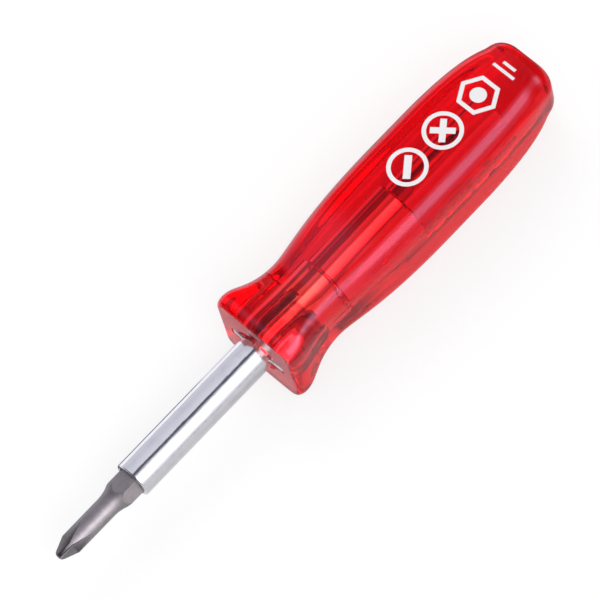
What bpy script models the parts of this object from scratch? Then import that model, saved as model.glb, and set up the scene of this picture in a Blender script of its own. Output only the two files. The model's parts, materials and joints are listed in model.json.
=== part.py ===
"""Multi-bit screwdriver: moulded handle, reversible socket shaft, two double-ended bits and ball grips.

Frame: the tool axis runs along X with the working tip at -X and the butt at +X. +Z is up, and the handle
lies on one of its long faces at Z = 0. The origin is under the middle of the tool. Lengths are in metres.
"""

import math
from dataclasses import dataclass

import bmesh
import bpy
from mathutils import Matrix, Vector

MM = 0.001
ROOT_THREE = math.sqrt(3)

# Stock sizes: 5/16 in and 1/4 in hexagon, 1/4 in and 3/16 in rod.
LARGE_HEX = 7.94 * MM
SMALL_HEX = 6.35 * MM
LARGE_ROD = 6.35 * MM
SMALL_ROD = 4.76 * MM

# Double-ended bits: a shank at each end of a hexagon body that stands a little out of its socket.
LARGE_SHANK = 24.3 * MM
SMALL_SHANK = 22.5 * MM
LARGE_HEX_LENGTH = 19.0 * MM
SMALL_HEX_LENGTH = 17.0 * MM
HEX_SHOWN = 4.5 * MM
SHOULDER_CURVE = 11.4 * MM
LARGE_TAPER = 5.0 * MM
SMALL_TAPER = 3.9 * MM
LARGE_TIP = 3.1 * MM
SMALL_TIP = 2.2 * MM
NOSE_LENGTH = 0.8 * MM
NOSE_STEP = 0.8 * MM
LARGE_FLUTE = 11.0 * MM
SMALL_FLUTE = 8.5 * MM
LARGE_FLUTE_LEVEL = 5.0 * MM
SMALL_FLUTE_LEVEL = 3.8 * MM
LARGE_FLUTE_ROOT = 0.64 * MM
SMALL_FLUTE_ROOT = 0.48 * MM
LARGE_BLADE = 1.1 * MM
SMALL_BLADE = 0.9 * MM
BLADE_LENGTH = 10.0 * MM
CROSS_TURN = math.radians(20.0)

# Shaft tube: the same length each side of its ears, so that it goes in either way round.
TUBE_WALL = 0.86 * MM
TUBE_REACH = 49.6 * MM
EAR_DEPTH = 3.0 * MM
EAR_LENGTH = 6.0 * MM
EAR_THICKNESS = 2.6 * MM
EAR_PROUD = 3.75 * MM
EAR_EDGE = 0.5 * MM
WEB_LENGTH = 10.0 * MM
TUBE_EDGE = 0.5 * MM
TUBE_EDGE_SHARE = 0.3

# Handle: width across its long faces and corner rounding at the flared front, the waist and the belly.
HANDLE_LENGTH = 111.4 * MM
HANDLE_WIDTH = 28.6 * MM
WAIST_WIDTH = 22.8 * MM
HEEL_WIDTH = 22.7 * MM
FLARE_AT = 3.0 * MM
WAIST_AT = 18.9 * MM
BELLY_AT = 64.0 * MM
BELLY_FLAT = 8.0 * MM
FLARE_CORNER = 4.6 * MM
WAIST_CORNER = 6.0 * MM
BELLY_CORNER = 7.4 * MM
HEEL_CORNER = 7.6 * MM
FRONT_ROUND = 1.4 * MM
BUTT_ROUND = 5.7 * MM
BUTT_CROWN = 1.0 * MM
CROWN_RING_SHARE = 0.55

# How far each handle curve runs on level from its end before it bends.
FLARE_EASE = 4.5 * MM
WAIST_EASE_FRONT = 9.2 * MM
WAIST_EASE_BACK = 7.1 * MM
BELLY_EASE_FRONT = 31.0 * MM
BELLY_EASE_BACK = 4.0 * MM
HEEL_EASE = Vector((8.5 * MM, 3.2 * MM))

# Bore of the handle, and what its pieces keep clear of each other.
MOUTH_DEPTH = 27.0 * MM
MOUTH_PLAY = 1.0 * MM
MOUTH_EDGE = 0.4 * MM
SLOT_DEPTH = 17.0 * MM
REAR_PLAY = 9.5 * MM
BORE_PLAY = 0.3 * MM
SLOT_PLAY = 0.3 * MM
SOCKET_PLAY = 0.1 * MM
STOP_PLAY = 0.3 * MM
BORE_POINT_SHARE = 0.5

# Ball grips: a ball on a spring in a drilled pocket.
LARGE_BALL = 2.4 * MM
SMALL_BALL = 2.0 * MM
SHAFT_BALL = 2.5 * MM
POCKET_PLAY = 0.15 * MM
GRIP_PLAY = 0.05 * MM
POCKET_PAST_AXIS = 1.25 * MM
SHAFT_POCKET_FLOOR = 1.3 * MM
SHAFT_BALL_TURN = math.radians(45.0)
SPRING_WIRE = 0.3 * MM
SPRING_TURN = 0.78 * MM
SPRING_PLAY = 0.12 * MM

# How finely the curves are stepped, and how far cutters reach past what they cut.
TURN_STEPS = 64
BIT_STEPS = 40
CORNER_STEPS = 7
FRONT_STEPS = 5
NECK_STEPS = 8
BELLY_STEPS = 12
HEEL_STEPS = 9
BUTT_STEPS = 6
SHOULDER_STEPS = 5
POCKET_STEPS = 20
BALL_STEPS = 20
BALL_RING_STEPS = 12
COIL_STEPS = 10
CUT_OVER = 3.0 * MM

# Places that follow from the sizes above.
FRONT_REACH = LARGE_SHANK + HEX_SHOWN
REAR_REACH = SMALL_SHANK + HEX_SHOWN
TUBE_DIAMETER = (LARGE_HEX + 2 * SOCKET_PLAY) * 2 / ROOT_THREE + 2 * TUBE_WALL
TUBE_HALF = TUBE_REACH + EAR_DEPTH
SHAFT_INSIDE = TUBE_HALF + EAR_DEPTH
TOOL_LENGTH = FRONT_REACH + TUBE_REACH + HANDLE_LENGTH
AXIS_Z = HANDLE_WIDTH / 2
TIP_X = -TOOL_LENGTH / 2
FACE_X = TIP_X + FRONT_REACH + TUBE_REACH
TUBE_X = FACE_X + EAR_DEPTH
REAR_TIP_X = TUBE_X + TUBE_HALF + REAR_REACH
EAR_HALF_SPAN = TUBE_DIAMETER / 2 + EAR_PROUD
MOUTH_RADIUS = TUBE_DIAMETER / 2 + BORE_PLAY + MOUTH_PLAY
REAR_BORE_RADIUS = SMALL_HEX / ROOT_THREE + 2 * BORE_PLAY
AXIS = Matrix.Translation((0.0, 0.0, AXIS_Z))
SHAFT_PLACE = AXIS @ Matrix.Translation((TUBE_X, 0.0, 0.0))


@dataclass(frozen=True)
class BitSize:
    """Sizes of one double-ended bit and of the ball in its hexagon."""

    across: float
    rod: float
    shank: float
    hex_length: float
    taper: float
    tip: float
    flute: float
    flute_level: float
    flute_root: float
    blade: float
    ball: float

    def length(self):
        """Length from the cross tip to the blade."""
        return 2 * self.shank + self.hex_length

    def ball_top(self):
        """Height of the ball's top over the bit's axis."""
        return self.across / 2 + GRIP_PLAY


LARGE_BIT = BitSize(
    across=LARGE_HEX,
    rod=LARGE_ROD,
    shank=LARGE_SHANK,
    hex_length=LARGE_HEX_LENGTH,
    taper=LARGE_TAPER,
    tip=LARGE_TIP,
    flute=LARGE_FLUTE,
    flute_level=LARGE_FLUTE_LEVEL,
    flute_root=LARGE_FLUTE_ROOT,
    blade=LARGE_BLADE,
    ball=LARGE_BALL,
)
SMALL_BIT = BitSize(
    across=SMALL_HEX,
    rod=SMALL_ROD,
    shank=SMALL_SHANK,
    hex_length=SMALL_HEX_LENGTH,
    taper=SMALL_TAPER,
    tip=SMALL_TIP,
    flute=SMALL_FLUTE,
    flute_level=SMALL_FLUTE_LEVEL,
    flute_root=SMALL_FLUTE_ROOT,
    blade=SMALL_BLADE,
    ball=SMALL_BALL,
)


def clear_scene():
    """Remove what the start-up scene holds."""
    for obj in list(bpy.data.objects):
        bpy.data.objects.remove(obj)


def make_collection(name, hidden):
    """Make a collection under the scene, hidden from renders if it holds cutters."""
    collection = bpy.data.collections.new(name)
    bpy.context.scene.collection.children.link(collection)
    collection.hide_render = hidden
    return collection


def make_material(name, colour, metallic, roughness, transmission=0.0):
    """Make a plain Principled material."""
    material = bpy.data.materials.new(name)
    material.use_nodes = True
    shader = material.node_tree.nodes["Principled BSDF"]
    shader.inputs["Base Color"].default_value = (*colour, 1.0)
    shader.inputs["Metallic"].default_value = metallic
    shader.inputs["Roughness"].default_value = roughness
    shader.inputs["Transmission Weight"].default_value = transmission
    return material


def add_mesh(name, mesh, place):
    """Put a mesh in the scene at a place given in the tool's frame."""
    obj = bpy.data.objects.new(name, mesh)
    obj.matrix_world = place
    bpy.context.scene.collection.objects.link(obj)
    return obj


def add_primitive(name, operator, place, **sizes):
    """Add one of Blender's primitives, shaped in its own frame and then put in place."""
    operator(**sizes)
    obj = bpy.context.object
    obj.name = name
    obj.data.name = name
    obj.matrix_world = place @ obj.matrix_world
    return obj


def turned(name, outline, steps, place):
    """Turn an outline of (along, radius) points, listed from +X to -X, about the local X axis."""
    mesh = bpy.data.meshes.new(name)
    points = [(along, radius, 0.0) for along, radius in outline]
    mesh.from_pydata(points, [(i, i + 1) for i in range(len(points) - 1)], [])
    obj = add_mesh(name, mesh, place)
    screw = obj.modifiers.new("Turn", "SCREW")
    screw.axis = "X"
    screw.steps = steps
    screw.render_steps = steps
    screw.use_merge_vertices = True
    screw.merge_threshold = 0.000001
    return obj


def hex_bar(name, across, start, end, place):
    """A hexagon bar along the local X axis with flats facing up and down."""
    return add_primitive(
        name,
        bpy.ops.mesh.primitive_cylinder_add,
        place @ Matrix.Translation(((start + end) / 2, 0.0, 0.0)),
        vertices=6,
        radius=across / ROOT_THREE,
        depth=end - start,
        rotation=(0.0, math.pi / 2, 0.0),
    )


def round_bar(name, radius, start, end, place):
    """A round bar along the local X axis."""
    return add_primitive(
        name,
        bpy.ops.mesh.primitive_cylinder_add,
        place @ Matrix.Translation(((start + end) / 2, 0.0, 0.0)),
        vertices=BIT_STEPS,
        radius=radius,
        depth=end - start,
        rotation=(0.0, math.pi / 2, 0.0),
    )


def block(name, size, place):
    """A box of the given size about the given place."""
    return add_primitive(name, bpy.ops.mesh.primitive_cube_add, place, size=1.0, scale=size)


def shape_with(target, tool, operation, cutters):
    """Cut, join or trim the target with a tool that stays as a hidden wire object."""
    for holder in list(tool.users_collection):
        holder.objects.unlink(tool)
    cutters.objects.link(tool)
    tool.hide_render = True
    tool.display_type = "WIRE"
    boolean = target.modifiers.new(tool.name, "BOOLEAN")
    boolean.operation = operation
    boolean.object = tool
    boolean.solver = "EXACT"


def finish(obj, parts, material):
    """Move a finished piece into the object's collection and give it its material."""
    for holder in list(obj.users_collection):
        holder.objects.unlink(obj)
    parts.objects.link(obj)
    obj.data.materials.clear()
    obj.data.materials.append(material)


def bezier(start, leave, arrive, end, steps):
    """Points of one cubic curve from start to end, with start left out."""
    points = []
    for i in range(1, steps + 1):
        t = i / steps
        rest = 1.0 - t
        near = start * rest**3 + leave * (3 * rest * rest * t)
        far = arrive * (3 * rest * t * t) + end * t**3
        points.append(near + far)
    return points


def blend(value, knots):
    """Straight-line value between the nearest two of the (place, value) knots."""
    for (low, first), (high, last) in zip(knots, knots[1:]):
        if value <= high:
            share = max(0.0, (value - low) / (high - low))
            return first + (last - first) * share
    return knots[-1][1]


def handle_sections():
    """(distance from the front face, half width, corner radius) of each ring of the handle."""
    half, waist, heel = HANDLE_WIDTH / 2, WAIST_WIDTH / 2, HEEL_WIDTH / 2
    heel_at = HANDLE_LENGTH - BUTT_CROWN - BUTT_ROUND
    flare = Vector((FLARE_AT, half))
    neck = Vector((WAIST_AT, waist))
    belly = Vector((BELLY_AT, half))
    belly_end = Vector((BELLY_AT + BELLY_FLAT, half))
    end = Vector((heel_at, heel))
    outline = [flare]
    leave = flare + Vector((FLARE_EASE, 0.0))
    arrive = neck - Vector((WAIST_EASE_FRONT, 0.0))
    outline += bezier(flare, leave, arrive, neck, NECK_STEPS)
    leave = neck + Vector((WAIST_EASE_BACK, 0.0))
    arrive = belly - Vector((BELLY_EASE_FRONT, 0.0))
    outline += bezier(neck, leave, arrive, belly, BELLY_STEPS)
    outline.append(belly_end)
    leave = belly_end + Vector((BELLY_EASE_BACK, 0.0))
    arrive = end + Vector((-HEEL_EASE.x, HEEL_EASE.y))
    outline += bezier(belly_end, leave, arrive, end, HEEL_STEPS)
    corners = [
        (FLARE_AT, FLARE_CORNER),
        (WAIST_AT, WAIST_CORNER),
        (BELLY_AT, BELLY_CORNER),
        (heel_at, HEEL_CORNER),
    ]
    sections = []
    for i in range(FRONT_STEPS):
        turn = math.pi / 2 * i / FRONT_STEPS
        inset = FRONT_ROUND * (1.0 - math.sin(turn))
        sections.append((FLARE_AT * (1.0 - math.cos(turn)), half - inset, FLARE_CORNER - inset))
    sections += [(point.x, point.y, blend(point.x, corners)) for point in outline]
    for i in range(1, BUTT_STEPS + 1):
        turn = math.pi / 2 * i / BUTT_STEPS
        inset = BUTT_ROUND * (1.0 - math.cos(turn))
        sections.append((heel_at + BUTT_ROUND * math.sin(turn), heel - inset, HEEL_CORNER - inset))
    along, half, corner = sections[-1]
    rise = BUTT_CROWN * (1.0 - CROWN_RING_SHARE**2)
    sections.append((along + rise, half * CROWN_RING_SHARE, corner * CROWN_RING_SHARE))
    return sections


def section_ring(half, corner):
    """(y, z) points of a square with rounded corners, anticlockwise seen from +X."""
    points = []
    for quarter in range(4):
        turn = Matrix.Rotation(math.pi / 2 * quarter, 2)
        for i in range(CORNER_STEPS + 1):
            angle = math.pi / 2 * i / CORNER_STEPS
            across = half - corner + corner * math.cos(angle)
            up = half - corner + corner * math.sin(angle)
            points.append(turn @ Vector((across, up)))
    return points


def handle_body():
    """Loft the handle's unlike sections from the front face to the crowned butt."""
    shape = bmesh.new()
    rings = []
    for along, half, corner in handle_sections():
        ring = [shape.verts.new((FACE_X + along, p.x, p.y)) for p in section_ring(half, corner)]
        rings.append(ring)
    for first, second in zip(rings, rings[1:]):
        count = len(first)
        for i in range(count):
            j = (i + 1) % count
            shape.faces.new((first[i], first[j], second[j], second[i]))
    shape.faces.new(rings[0][::-1])
    crown = shape.verts.new((FACE_X + HANDLE_LENGTH, 0.0, 0.0))
    last = rings[-1]
    for i in range(len(last)):
        shape.faces.new((last[i], last[(i + 1) % len(last)], crown))
    bmesh.ops.recalc_face_normals(shape, faces=shape.faces)
    mesh = bpy.data.meshes.new("handle")
    shape.to_mesh(mesh)
    shape.free()
    return add_mesh("handle", mesh, AXIS)


def make_handle(parts, cutters, material):
    """The moulded handle with its stepped bore and the four slots of its mouth."""
    handle = handle_body()
    guide = TUBE_DIAMETER / 2 + BORE_PLAY
    shoulder = SHAFT_INSIDE + STOP_PLAY
    depth = SHAFT_INSIDE + REAR_REACH + REAR_PLAY
    outline = [
        (depth + REAR_BORE_RADIUS * BORE_POINT_SHARE, 0.0),
        (depth, REAR_BORE_RADIUS),
        (shoulder, REAR_BORE_RADIUS),
        (shoulder, guide),
        (MOUTH_DEPTH, guide),
        (MOUTH_DEPTH, MOUTH_RADIUS),
        (MOUTH_EDGE, MOUTH_RADIUS),
        (-MOUTH_EDGE, MOUTH_RADIUS + 2 * MOUTH_EDGE),
        (-CUT_OVER, MOUTH_RADIUS + 2 * MOUTH_EDGE),
        (-CUT_OVER, 0.0),
    ]
    face = AXIS @ Matrix.Translation((FACE_X, 0.0, 0.0))
    shape_with(handle, turned("handle_bore", outline, TURN_STEPS, face), "DIFFERENCE", cutters)
    span = 2 * (EAR_HALF_SPAN + SLOT_PLAY)
    width = EAR_THICKNESS + 2 * SLOT_PLAY
    length = SLOT_DEPTH + CUT_OVER
    middle = face @ Matrix.Translation(((SLOT_DEPTH - CUT_OVER) / 2, 0.0, 0.0))
    level = block("handle_slot_level", (length, span, width), middle)
    shape_with(handle, level, "DIFFERENCE", cutters)
    upright = block("handle_slot_upright", (length, width, span), middle)
    shape_with(handle, upright, "DIFFERENCE", cutters)
    finish(handle, parts, material)


def shaft_grip_direction():
    """Turn that points a grip's own +Z at the shaft ball's place between two slots."""
    return Matrix.Rotation(-SHAFT_BALL_TURN, 4, "X")


def make_shaft(parts, cutters, material):
    """Turned tube with ears, two broached sockets and a ball pocket. Returns the place of its grip."""
    radius = TUBE_DIAMETER / 2
    round_off = TUBE_EDGE * TUBE_EDGE_SHARE
    outline = [
        (TUBE_HALF, 0.0),
        (TUBE_HALF, radius - TUBE_EDGE),
        (TUBE_HALF - round_off, radius - round_off),
        (TUBE_HALF - TUBE_EDGE, radius),
        (TUBE_EDGE - TUBE_HALF, radius),
        (round_off - TUBE_HALF, radius - round_off),
        (-TUBE_HALF, radius - TUBE_EDGE),
        (-TUBE_HALF, 0.0),
    ]
    shaft = turned("shaft_tube", outline, TURN_STEPS, SHAFT_PLACE)
    ears = block("shaft_ears", (EAR_LENGTH, 2 * EAR_HALF_SPAN, EAR_THICKNESS), SHAFT_PLACE)
    edge = ears.modifiers.new("Edge", "BEVEL")
    edge.width = EAR_EDGE
    edge.segments = 2
    shape_with(shaft, ears, "UNION", cutters)
    turned_round = SHAFT_PLACE @ Matrix.Rotation(math.pi, 4, "Z")
    start = -TUBE_HALF - CUT_OVER
    for end, frame, bit in (("front", SHAFT_PLACE, LARGE_BIT), ("rear", turned_round, SMALL_BIT)):
        flat_run = shoulder_run(bit.across / 2 - SOCKET_PLAY, bit.rod)
        seat = shoulder_run(corner_radius(bit.across), bit.rod) - flat_run
        broach_floor = -TUBE_HALF + bit.hex_length - HEX_SHOWN + seat + STOP_PLAY
        drill = round_bar(f"{end}_drill", bit.across / 2, start, -WEB_LENGTH / 2, frame)
        shape_with(shaft, drill, "DIFFERENCE", cutters)
        broach = hex_bar(f"{end}_broach", bit.across + 2 * SOCKET_PLAY, start, broach_floor, frame)
        shape_with(shaft, broach, "DIFFERENCE", cutters)
    grip = SHAFT_PLACE @ shaft_grip_direction()
    pocket = pocket_cutter("shaft_pocket", SHAFT_BALL, SHAFT_POCKET_FLOOR, radius, grip)
    shape_with(shaft, pocket, "DIFFERENCE", cutters)
    finish(shaft, parts, material)
    return grip


def pocket_cutter(name, ball, floor, mouth, place):
    """A drill along the local Z axis, from the pocket's floor to past its mouth."""
    top = mouth + CUT_OVER
    return add_primitive(
        name,
        bpy.ops.mesh.primitive_cylinder_add,
        place @ Matrix.Translation((0.0, 0.0, (floor + top) / 2)),
        vertices=POCKET_STEPS,
        radius=ball / 2 + POCKET_PLAY,
        depth=top - floor,
    )


def shoulder_run(radius, rod):
    """How far a bit's hollow shoulder runs from the rod to the given radius."""
    return math.sqrt(SHOULDER_CURVE**2 - (SHOULDER_CURVE - (radius - rod / 2)) ** 2)


def corner_radius(across):
    """Radius at which a bit's shoulder has cleared the corners of its hexagon."""
    return across / ROOT_THREE + SOCKET_PLAY


def bit_outline(bit):
    """Turning outline of a double-ended bit, from its blade at the far end to its cross tip at zero."""
    half_rod = bit.rod / 2
    run = shoulder_run(corner_radius(bit.across), bit.rod)
    sweep = math.asin(run / SHOULDER_CURVE)
    flare = []
    for i in range(SHOULDER_STEPS + 1):
        turn = sweep * i / SHOULDER_STEPS
        flare.append((SHOULDER_CURVE * math.sin(turn), SHOULDER_CURVE * (1.0 - math.cos(turn))))
    outline = [(bit.length(), 0.0), (bit.length(), half_rod)]
    outline += [(bit.shank + bit.hex_length + run - along, half_rod + out) for along, out in flare]
    outline += [(bit.shank - run + along, half_rod + out) for along, out in reversed(flare)]
    outline += [
        (bit.taper, half_rod),
        (NOSE_LENGTH, bit.tip / 2),
        (0.0, bit.tip / 2 - NOSE_STEP),
        (0.0, 0.0),
    ]
    return outline


def cut_cross_tip(shape, name, bit, place, cutters):
    """Mill the four flutes of the cross tip, level behind its nose and then rising out of the rod."""
    side = 2 * bit.rod
    size = (2 * bit.flute, side, side)
    tilt = math.atan2(bit.rod / 2 - bit.flute_root, bit.flute - bit.flute_level)
    on_edge = Matrix.Translation((0.0, 0.0, side / math.sqrt(2))) @ Matrix.Rotation(math.pi / 4, 4, "X")
    for i in range(4):
        turn = Matrix.Rotation(CROSS_TURN + math.pi / 4 + math.pi / 2 * i, 4, "X")
        root = place @ turn @ Matrix.Translation((0.0, 0.0, bit.flute_root))
        bend = root @ Matrix.Translation((bit.flute_level, 0.0, 0.0)) @ Matrix.Rotation(-tilt, 4, "Y")
        cutter = block(f"{name}_flute_{i + 1}", size, root @ on_edge)
        rise = block(f"{name}_rise_{i + 1}", size, bend @ on_edge)
        shape_with(cutter, rise, "INTERSECT", cutters)
        shape_with(shape, cutter, "DIFFERENCE", cutters)


def grind_blade(shape, name, bit, place, cutters):
    """Grind the two flats of the blade."""
    side = 2 * bit.rod
    tilt = math.atan2((bit.rod - bit.blade) / 2, BLADE_LENGTH)
    for i in range(2):
        frame = (
            place
            @ Matrix.Rotation(math.pi * i, 4, "X")
            @ Matrix.Translation((bit.length(), 0.0, bit.blade / 2))
            @ Matrix.Rotation(tilt, 4, "Y")
            @ Matrix.Translation((-BLADE_LENGTH / 2, 0.0, side / 2))
        )
        cutter = block(f"{name}_grind_{i + 1}", (2 * BLADE_LENGTH, side, side), frame)
        shape_with(shape, cutter, "DIFFERENCE", cutters)


def make_bit(name, bit, place, parts, cutters, material):
    """A double-ended bit turned from hexagon bar, with a ball pocket. Returns the place of its grip."""
    shape = turned(name, bit_outline(bit), BIT_STEPS, place)
    bar = hex_bar(f"{name}_bar", bit.across, -CUT_OVER, bit.length() + CUT_OVER, place)
    shape_with(shape, bar, "INTERSECT", cutters)
    cut_cross_tip(shape, name, bit, place, cutters)
    grind_blade(shape, name, bit, place, cutters)
    grip = place @ Matrix.Translation((bit.shank + (bit.hex_length + HEX_SHOWN) / 2, 0.0, 0.0))
    pocket = pocket_cutter(f"{name}_pocket", bit.ball, -POCKET_PAST_AXIS, bit.across / 2, grip)
    shape_with(shape, pocket, "DIFFERENCE", cutters)
    finish(shape, parts, material)
    return grip


def least_gap(points):
    """Smallest clear distance between turns of a wound wire, measured on its points."""
    nearest = min(
        (first - second).length
        for i, first in enumerate(points)
        for second in points[i + COIL_STEPS // 2 :]
    )
    return nearest - SPRING_WIRE


def make_grip(name, place, ball, top, floor, parts, ball_material, spring_material):
    """A ball whose top reaches the given height on the local Z axis, and the spring under it."""
    centre = top - ball / 2
    sphere = add_primitive(
        f"{name}_ball",
        bpy.ops.mesh.primitive_uv_sphere_add,
        place @ Matrix.Translation((0.0, 0.0, centre)),
        segments=BALL_STEPS,
        ring_count=BALL_RING_STEPS,
        radius=ball / 2,
    )
    finish(sphere, parts, ball_material)
    low = floor + SPRING_PLAY + SPRING_WIRE / 2
    high = centre - ball / 2 - SPRING_PLAY - SPRING_WIRE / 2
    winding = ball / 2 - SPRING_WIRE
    count = round((high - low) / SPRING_TURN * COIL_STEPS)
    points = []
    for i in range(count + 1):
        angle = 2 * math.pi * i / COIL_STEPS
        rise = low + (high - low) * i / count
        points.append(Vector((winding * math.cos(angle), winding * math.sin(angle), rise)))
    curve = bpy.data.curves.new(f"{name}_spring", "CURVE")
    curve.dimensions = "3D"
    curve.bevel_depth = SPRING_WIRE / 2
    curve.bevel_resolution = 1
    curve.use_fill_caps = True
    spline = curve.splines.new("POLY")
    spline.points.add(len(points) - 1)
    for slot, point in zip(spline.points, points):
        slot.co = (*point, 1.0)
    spring = add_mesh(f"{name}_spring", curve, place)
    print(f"{name}_spring: least gap between turns {least_gap(points) / MM:.2f} mm")
    finish(spring, parts, spring_material)


def main():
    """Build every piece of the screwdriver."""
    clear_scene()
    parts = make_collection("multi_bit_screwdriver", False)
    cutters = make_collection("cutters", True)
    red = make_material("handle_red", (0.62, 0.01, 0.03), 0.0, 0.06, 0.8)
    chrome = make_material("shaft_chrome", (0.86, 0.86, 0.88), 1.0, 0.06)
    steel = make_material("bit_steel", (0.42, 0.42, 0.43), 1.0, 0.38)
    ball_steel = make_material("ball_steel", (0.75, 0.75, 0.76), 1.0, 0.12)
    wire = make_material("spring_wire", (0.5, 0.5, 0.52), 1.0, 0.3)

    make_handle(parts, cutters, red)
    shaft_grip = make_shaft(parts, cutters, chrome)
    front = AXIS @ Matrix.Translation((TIP_X, 0.0, 0.0))
    front_grip = make_bit("front_bit", LARGE_BIT, front, parts, cutters, steel)
    rear = AXIS @ Matrix.Translation((REAR_TIP_X, 0.0, 0.0)) @ Matrix.Rotation(math.pi, 4, "Z")
    rear_grip = make_bit("rear_bit", SMALL_BIT, rear, parts, cutters, steel)
    grips = (
        ("front_bit", front_grip, LARGE_BALL, LARGE_BIT.ball_top(), -POCKET_PAST_AXIS),
        ("rear_bit", rear_grip, SMALL_BALL, SMALL_BIT.ball_top(), -POCKET_PAST_AXIS),
        ("shaft", shaft_grip, SHAFT_BALL, MOUTH_RADIUS - 2 * GRIP_PLAY, SHAFT_POCKET_FLOOR),
    )
    for name, place, ball, top, floor in grips:
        make_grip(name, place, ball, top, floor, parts, ball_steel, wire)


main()
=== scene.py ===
"""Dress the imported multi-bit screwdriver: clear red handle, plated shaft, steel bits and a white studio.

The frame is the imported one. The tool axis runs along X, with the working tip at -X and the butt at +X,
and the handle lies on one of its long faces at Z = 0. Lengths are in metres.
"""

from __future__ import annotations

import json
import logging
import math
from contextlib import contextmanager
from dataclasses import dataclass, field
from enum import Enum
from typing import Any, Iterable, Iterator, Sequence

import bmesh
import bpy
from mathutils import Matrix, Vector

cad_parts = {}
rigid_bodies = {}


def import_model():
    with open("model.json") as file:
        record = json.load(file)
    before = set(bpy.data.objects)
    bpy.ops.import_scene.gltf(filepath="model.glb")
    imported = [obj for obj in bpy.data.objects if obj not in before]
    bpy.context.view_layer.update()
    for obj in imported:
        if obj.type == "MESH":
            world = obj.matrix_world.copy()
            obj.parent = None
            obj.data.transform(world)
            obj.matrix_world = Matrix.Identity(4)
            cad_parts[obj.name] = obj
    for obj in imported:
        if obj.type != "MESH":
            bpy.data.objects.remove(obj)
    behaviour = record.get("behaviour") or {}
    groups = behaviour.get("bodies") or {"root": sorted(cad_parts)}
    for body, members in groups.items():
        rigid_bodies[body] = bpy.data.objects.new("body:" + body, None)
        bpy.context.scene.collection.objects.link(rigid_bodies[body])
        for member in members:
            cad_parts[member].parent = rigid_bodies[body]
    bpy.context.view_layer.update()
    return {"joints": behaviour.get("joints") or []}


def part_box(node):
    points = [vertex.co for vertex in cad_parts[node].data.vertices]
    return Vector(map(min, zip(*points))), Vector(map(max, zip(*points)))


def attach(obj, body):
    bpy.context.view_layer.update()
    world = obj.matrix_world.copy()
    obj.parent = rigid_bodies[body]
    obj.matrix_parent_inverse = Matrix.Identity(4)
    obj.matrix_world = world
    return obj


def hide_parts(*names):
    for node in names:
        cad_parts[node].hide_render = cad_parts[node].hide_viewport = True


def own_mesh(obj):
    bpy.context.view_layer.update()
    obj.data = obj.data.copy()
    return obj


for leftover in list(bpy.data.objects):
    bpy.data.objects.remove(leftover)
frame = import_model()

LOG = logging.getLogger("screwdriver")
MM = 0.001
ROOT_THREE = math.sqrt(3)
CUT_OVER = 3.0 * MM
WELD = 0.002 * MM
POINT = 0.02 * MM
EDGE_STEPS = 3
NORMAL_WEIGHT = 80
HERE = Matrix.Identity(4)
HALF_TURN = Matrix.Rotation(math.pi, 4, "Z")
UPRIGHT = (0.0, 0.0, 0.0)
LEVEL = (0.0, math.pi / 2, 0.0)
Span = tuple[float, float]
Triple = tuple[float, float, float]
Colour = Triple
EVEN: Triple = (1.0, 1.0, 1.0)
WHITE: Colour = (1.0, 1.0, 1.0)
BLACK: Colour = (0.0, 0.0, 0.0)


class Cut(Enum):
    """How one shape works on another."""

    TAKE = "DIFFERENCE"
    JOIN = "UNION"
    KEEP = "INTERSECT"


class Value:
    """A shader value that takes part in Python arithmetic."""

    def __init__(self, graph: Graph, socket: bpy.types.NodeSocket) -> None:
        """Hold the graph and the output socket that gives the value."""
        self.graph = graph
        self.socket = socket

    def combine(self, operation: str, first: Value | float, second: Value | float) -> Value:
        """The result of a Math node with this operation and these two inputs."""
        return self.graph.node("ShaderNodeMath", {"operation": operation}, {0: first, 1: second})["Value"]

    def __add__(self, other: Value | float) -> Value:
        """Sum of two values."""
        return self.combine("ADD", self, other)

    def __radd__(self, other: float) -> Value:
        """Sum with a number on the left."""
        return self.combine("ADD", other, self)

    def __sub__(self, other: Value | float) -> Value:
        """Difference of two values."""
        return self.combine("SUBTRACT", self, other)

    def __rsub__(self, other: float) -> Value:
        """Difference from a number on the left."""
        return self.combine("SUBTRACT", other, self)

    def __mul__(self, other: Value | float) -> Value:
        """Product of two values."""
        return self.combine("MULTIPLY", self, other)

    def __rmul__(self, other: float) -> Value:
        """Product with a number on the left."""
        return self.combine("MULTIPLY", other, self)

    def __truediv__(self, other: Value | float) -> Value:
        """Quotient of two values."""
        return self.combine("DIVIDE", self, other)

    def __neg__(self) -> Value:
        """The value with its sign turned."""
        return self.combine("MULTIPLY", self, -1.0)

    def step(self, low: float, high: float) -> Value:
        """Smooth step of the value.

        Args:
            low: Value at which the step is 0.
            high: Value at which the step is 1.

        Returns:
            A value from 0 to 1.
        """
        settings = {"interpolation_type": "SMOOTHSTEP"}
        sockets = {"Value": self, "From Min": low, "From Max": high, "To Min": 0.0, "To Max": 1.0}
        return self.graph.node("ShaderNodeMapRange", settings, sockets)["Result"]


class Outputs:
    """The outputs of one node, by name or number."""

    def __init__(self, graph: Graph, node: bpy.types.Node) -> None:
        """Hold the graph and the node."""
        self.graph = graph
        self.node = node

    def __getitem__(self, name: str | int) -> Value:
        """The output of that name, as a value."""
        return Value(self.graph, self.node.outputs[name])


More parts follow.
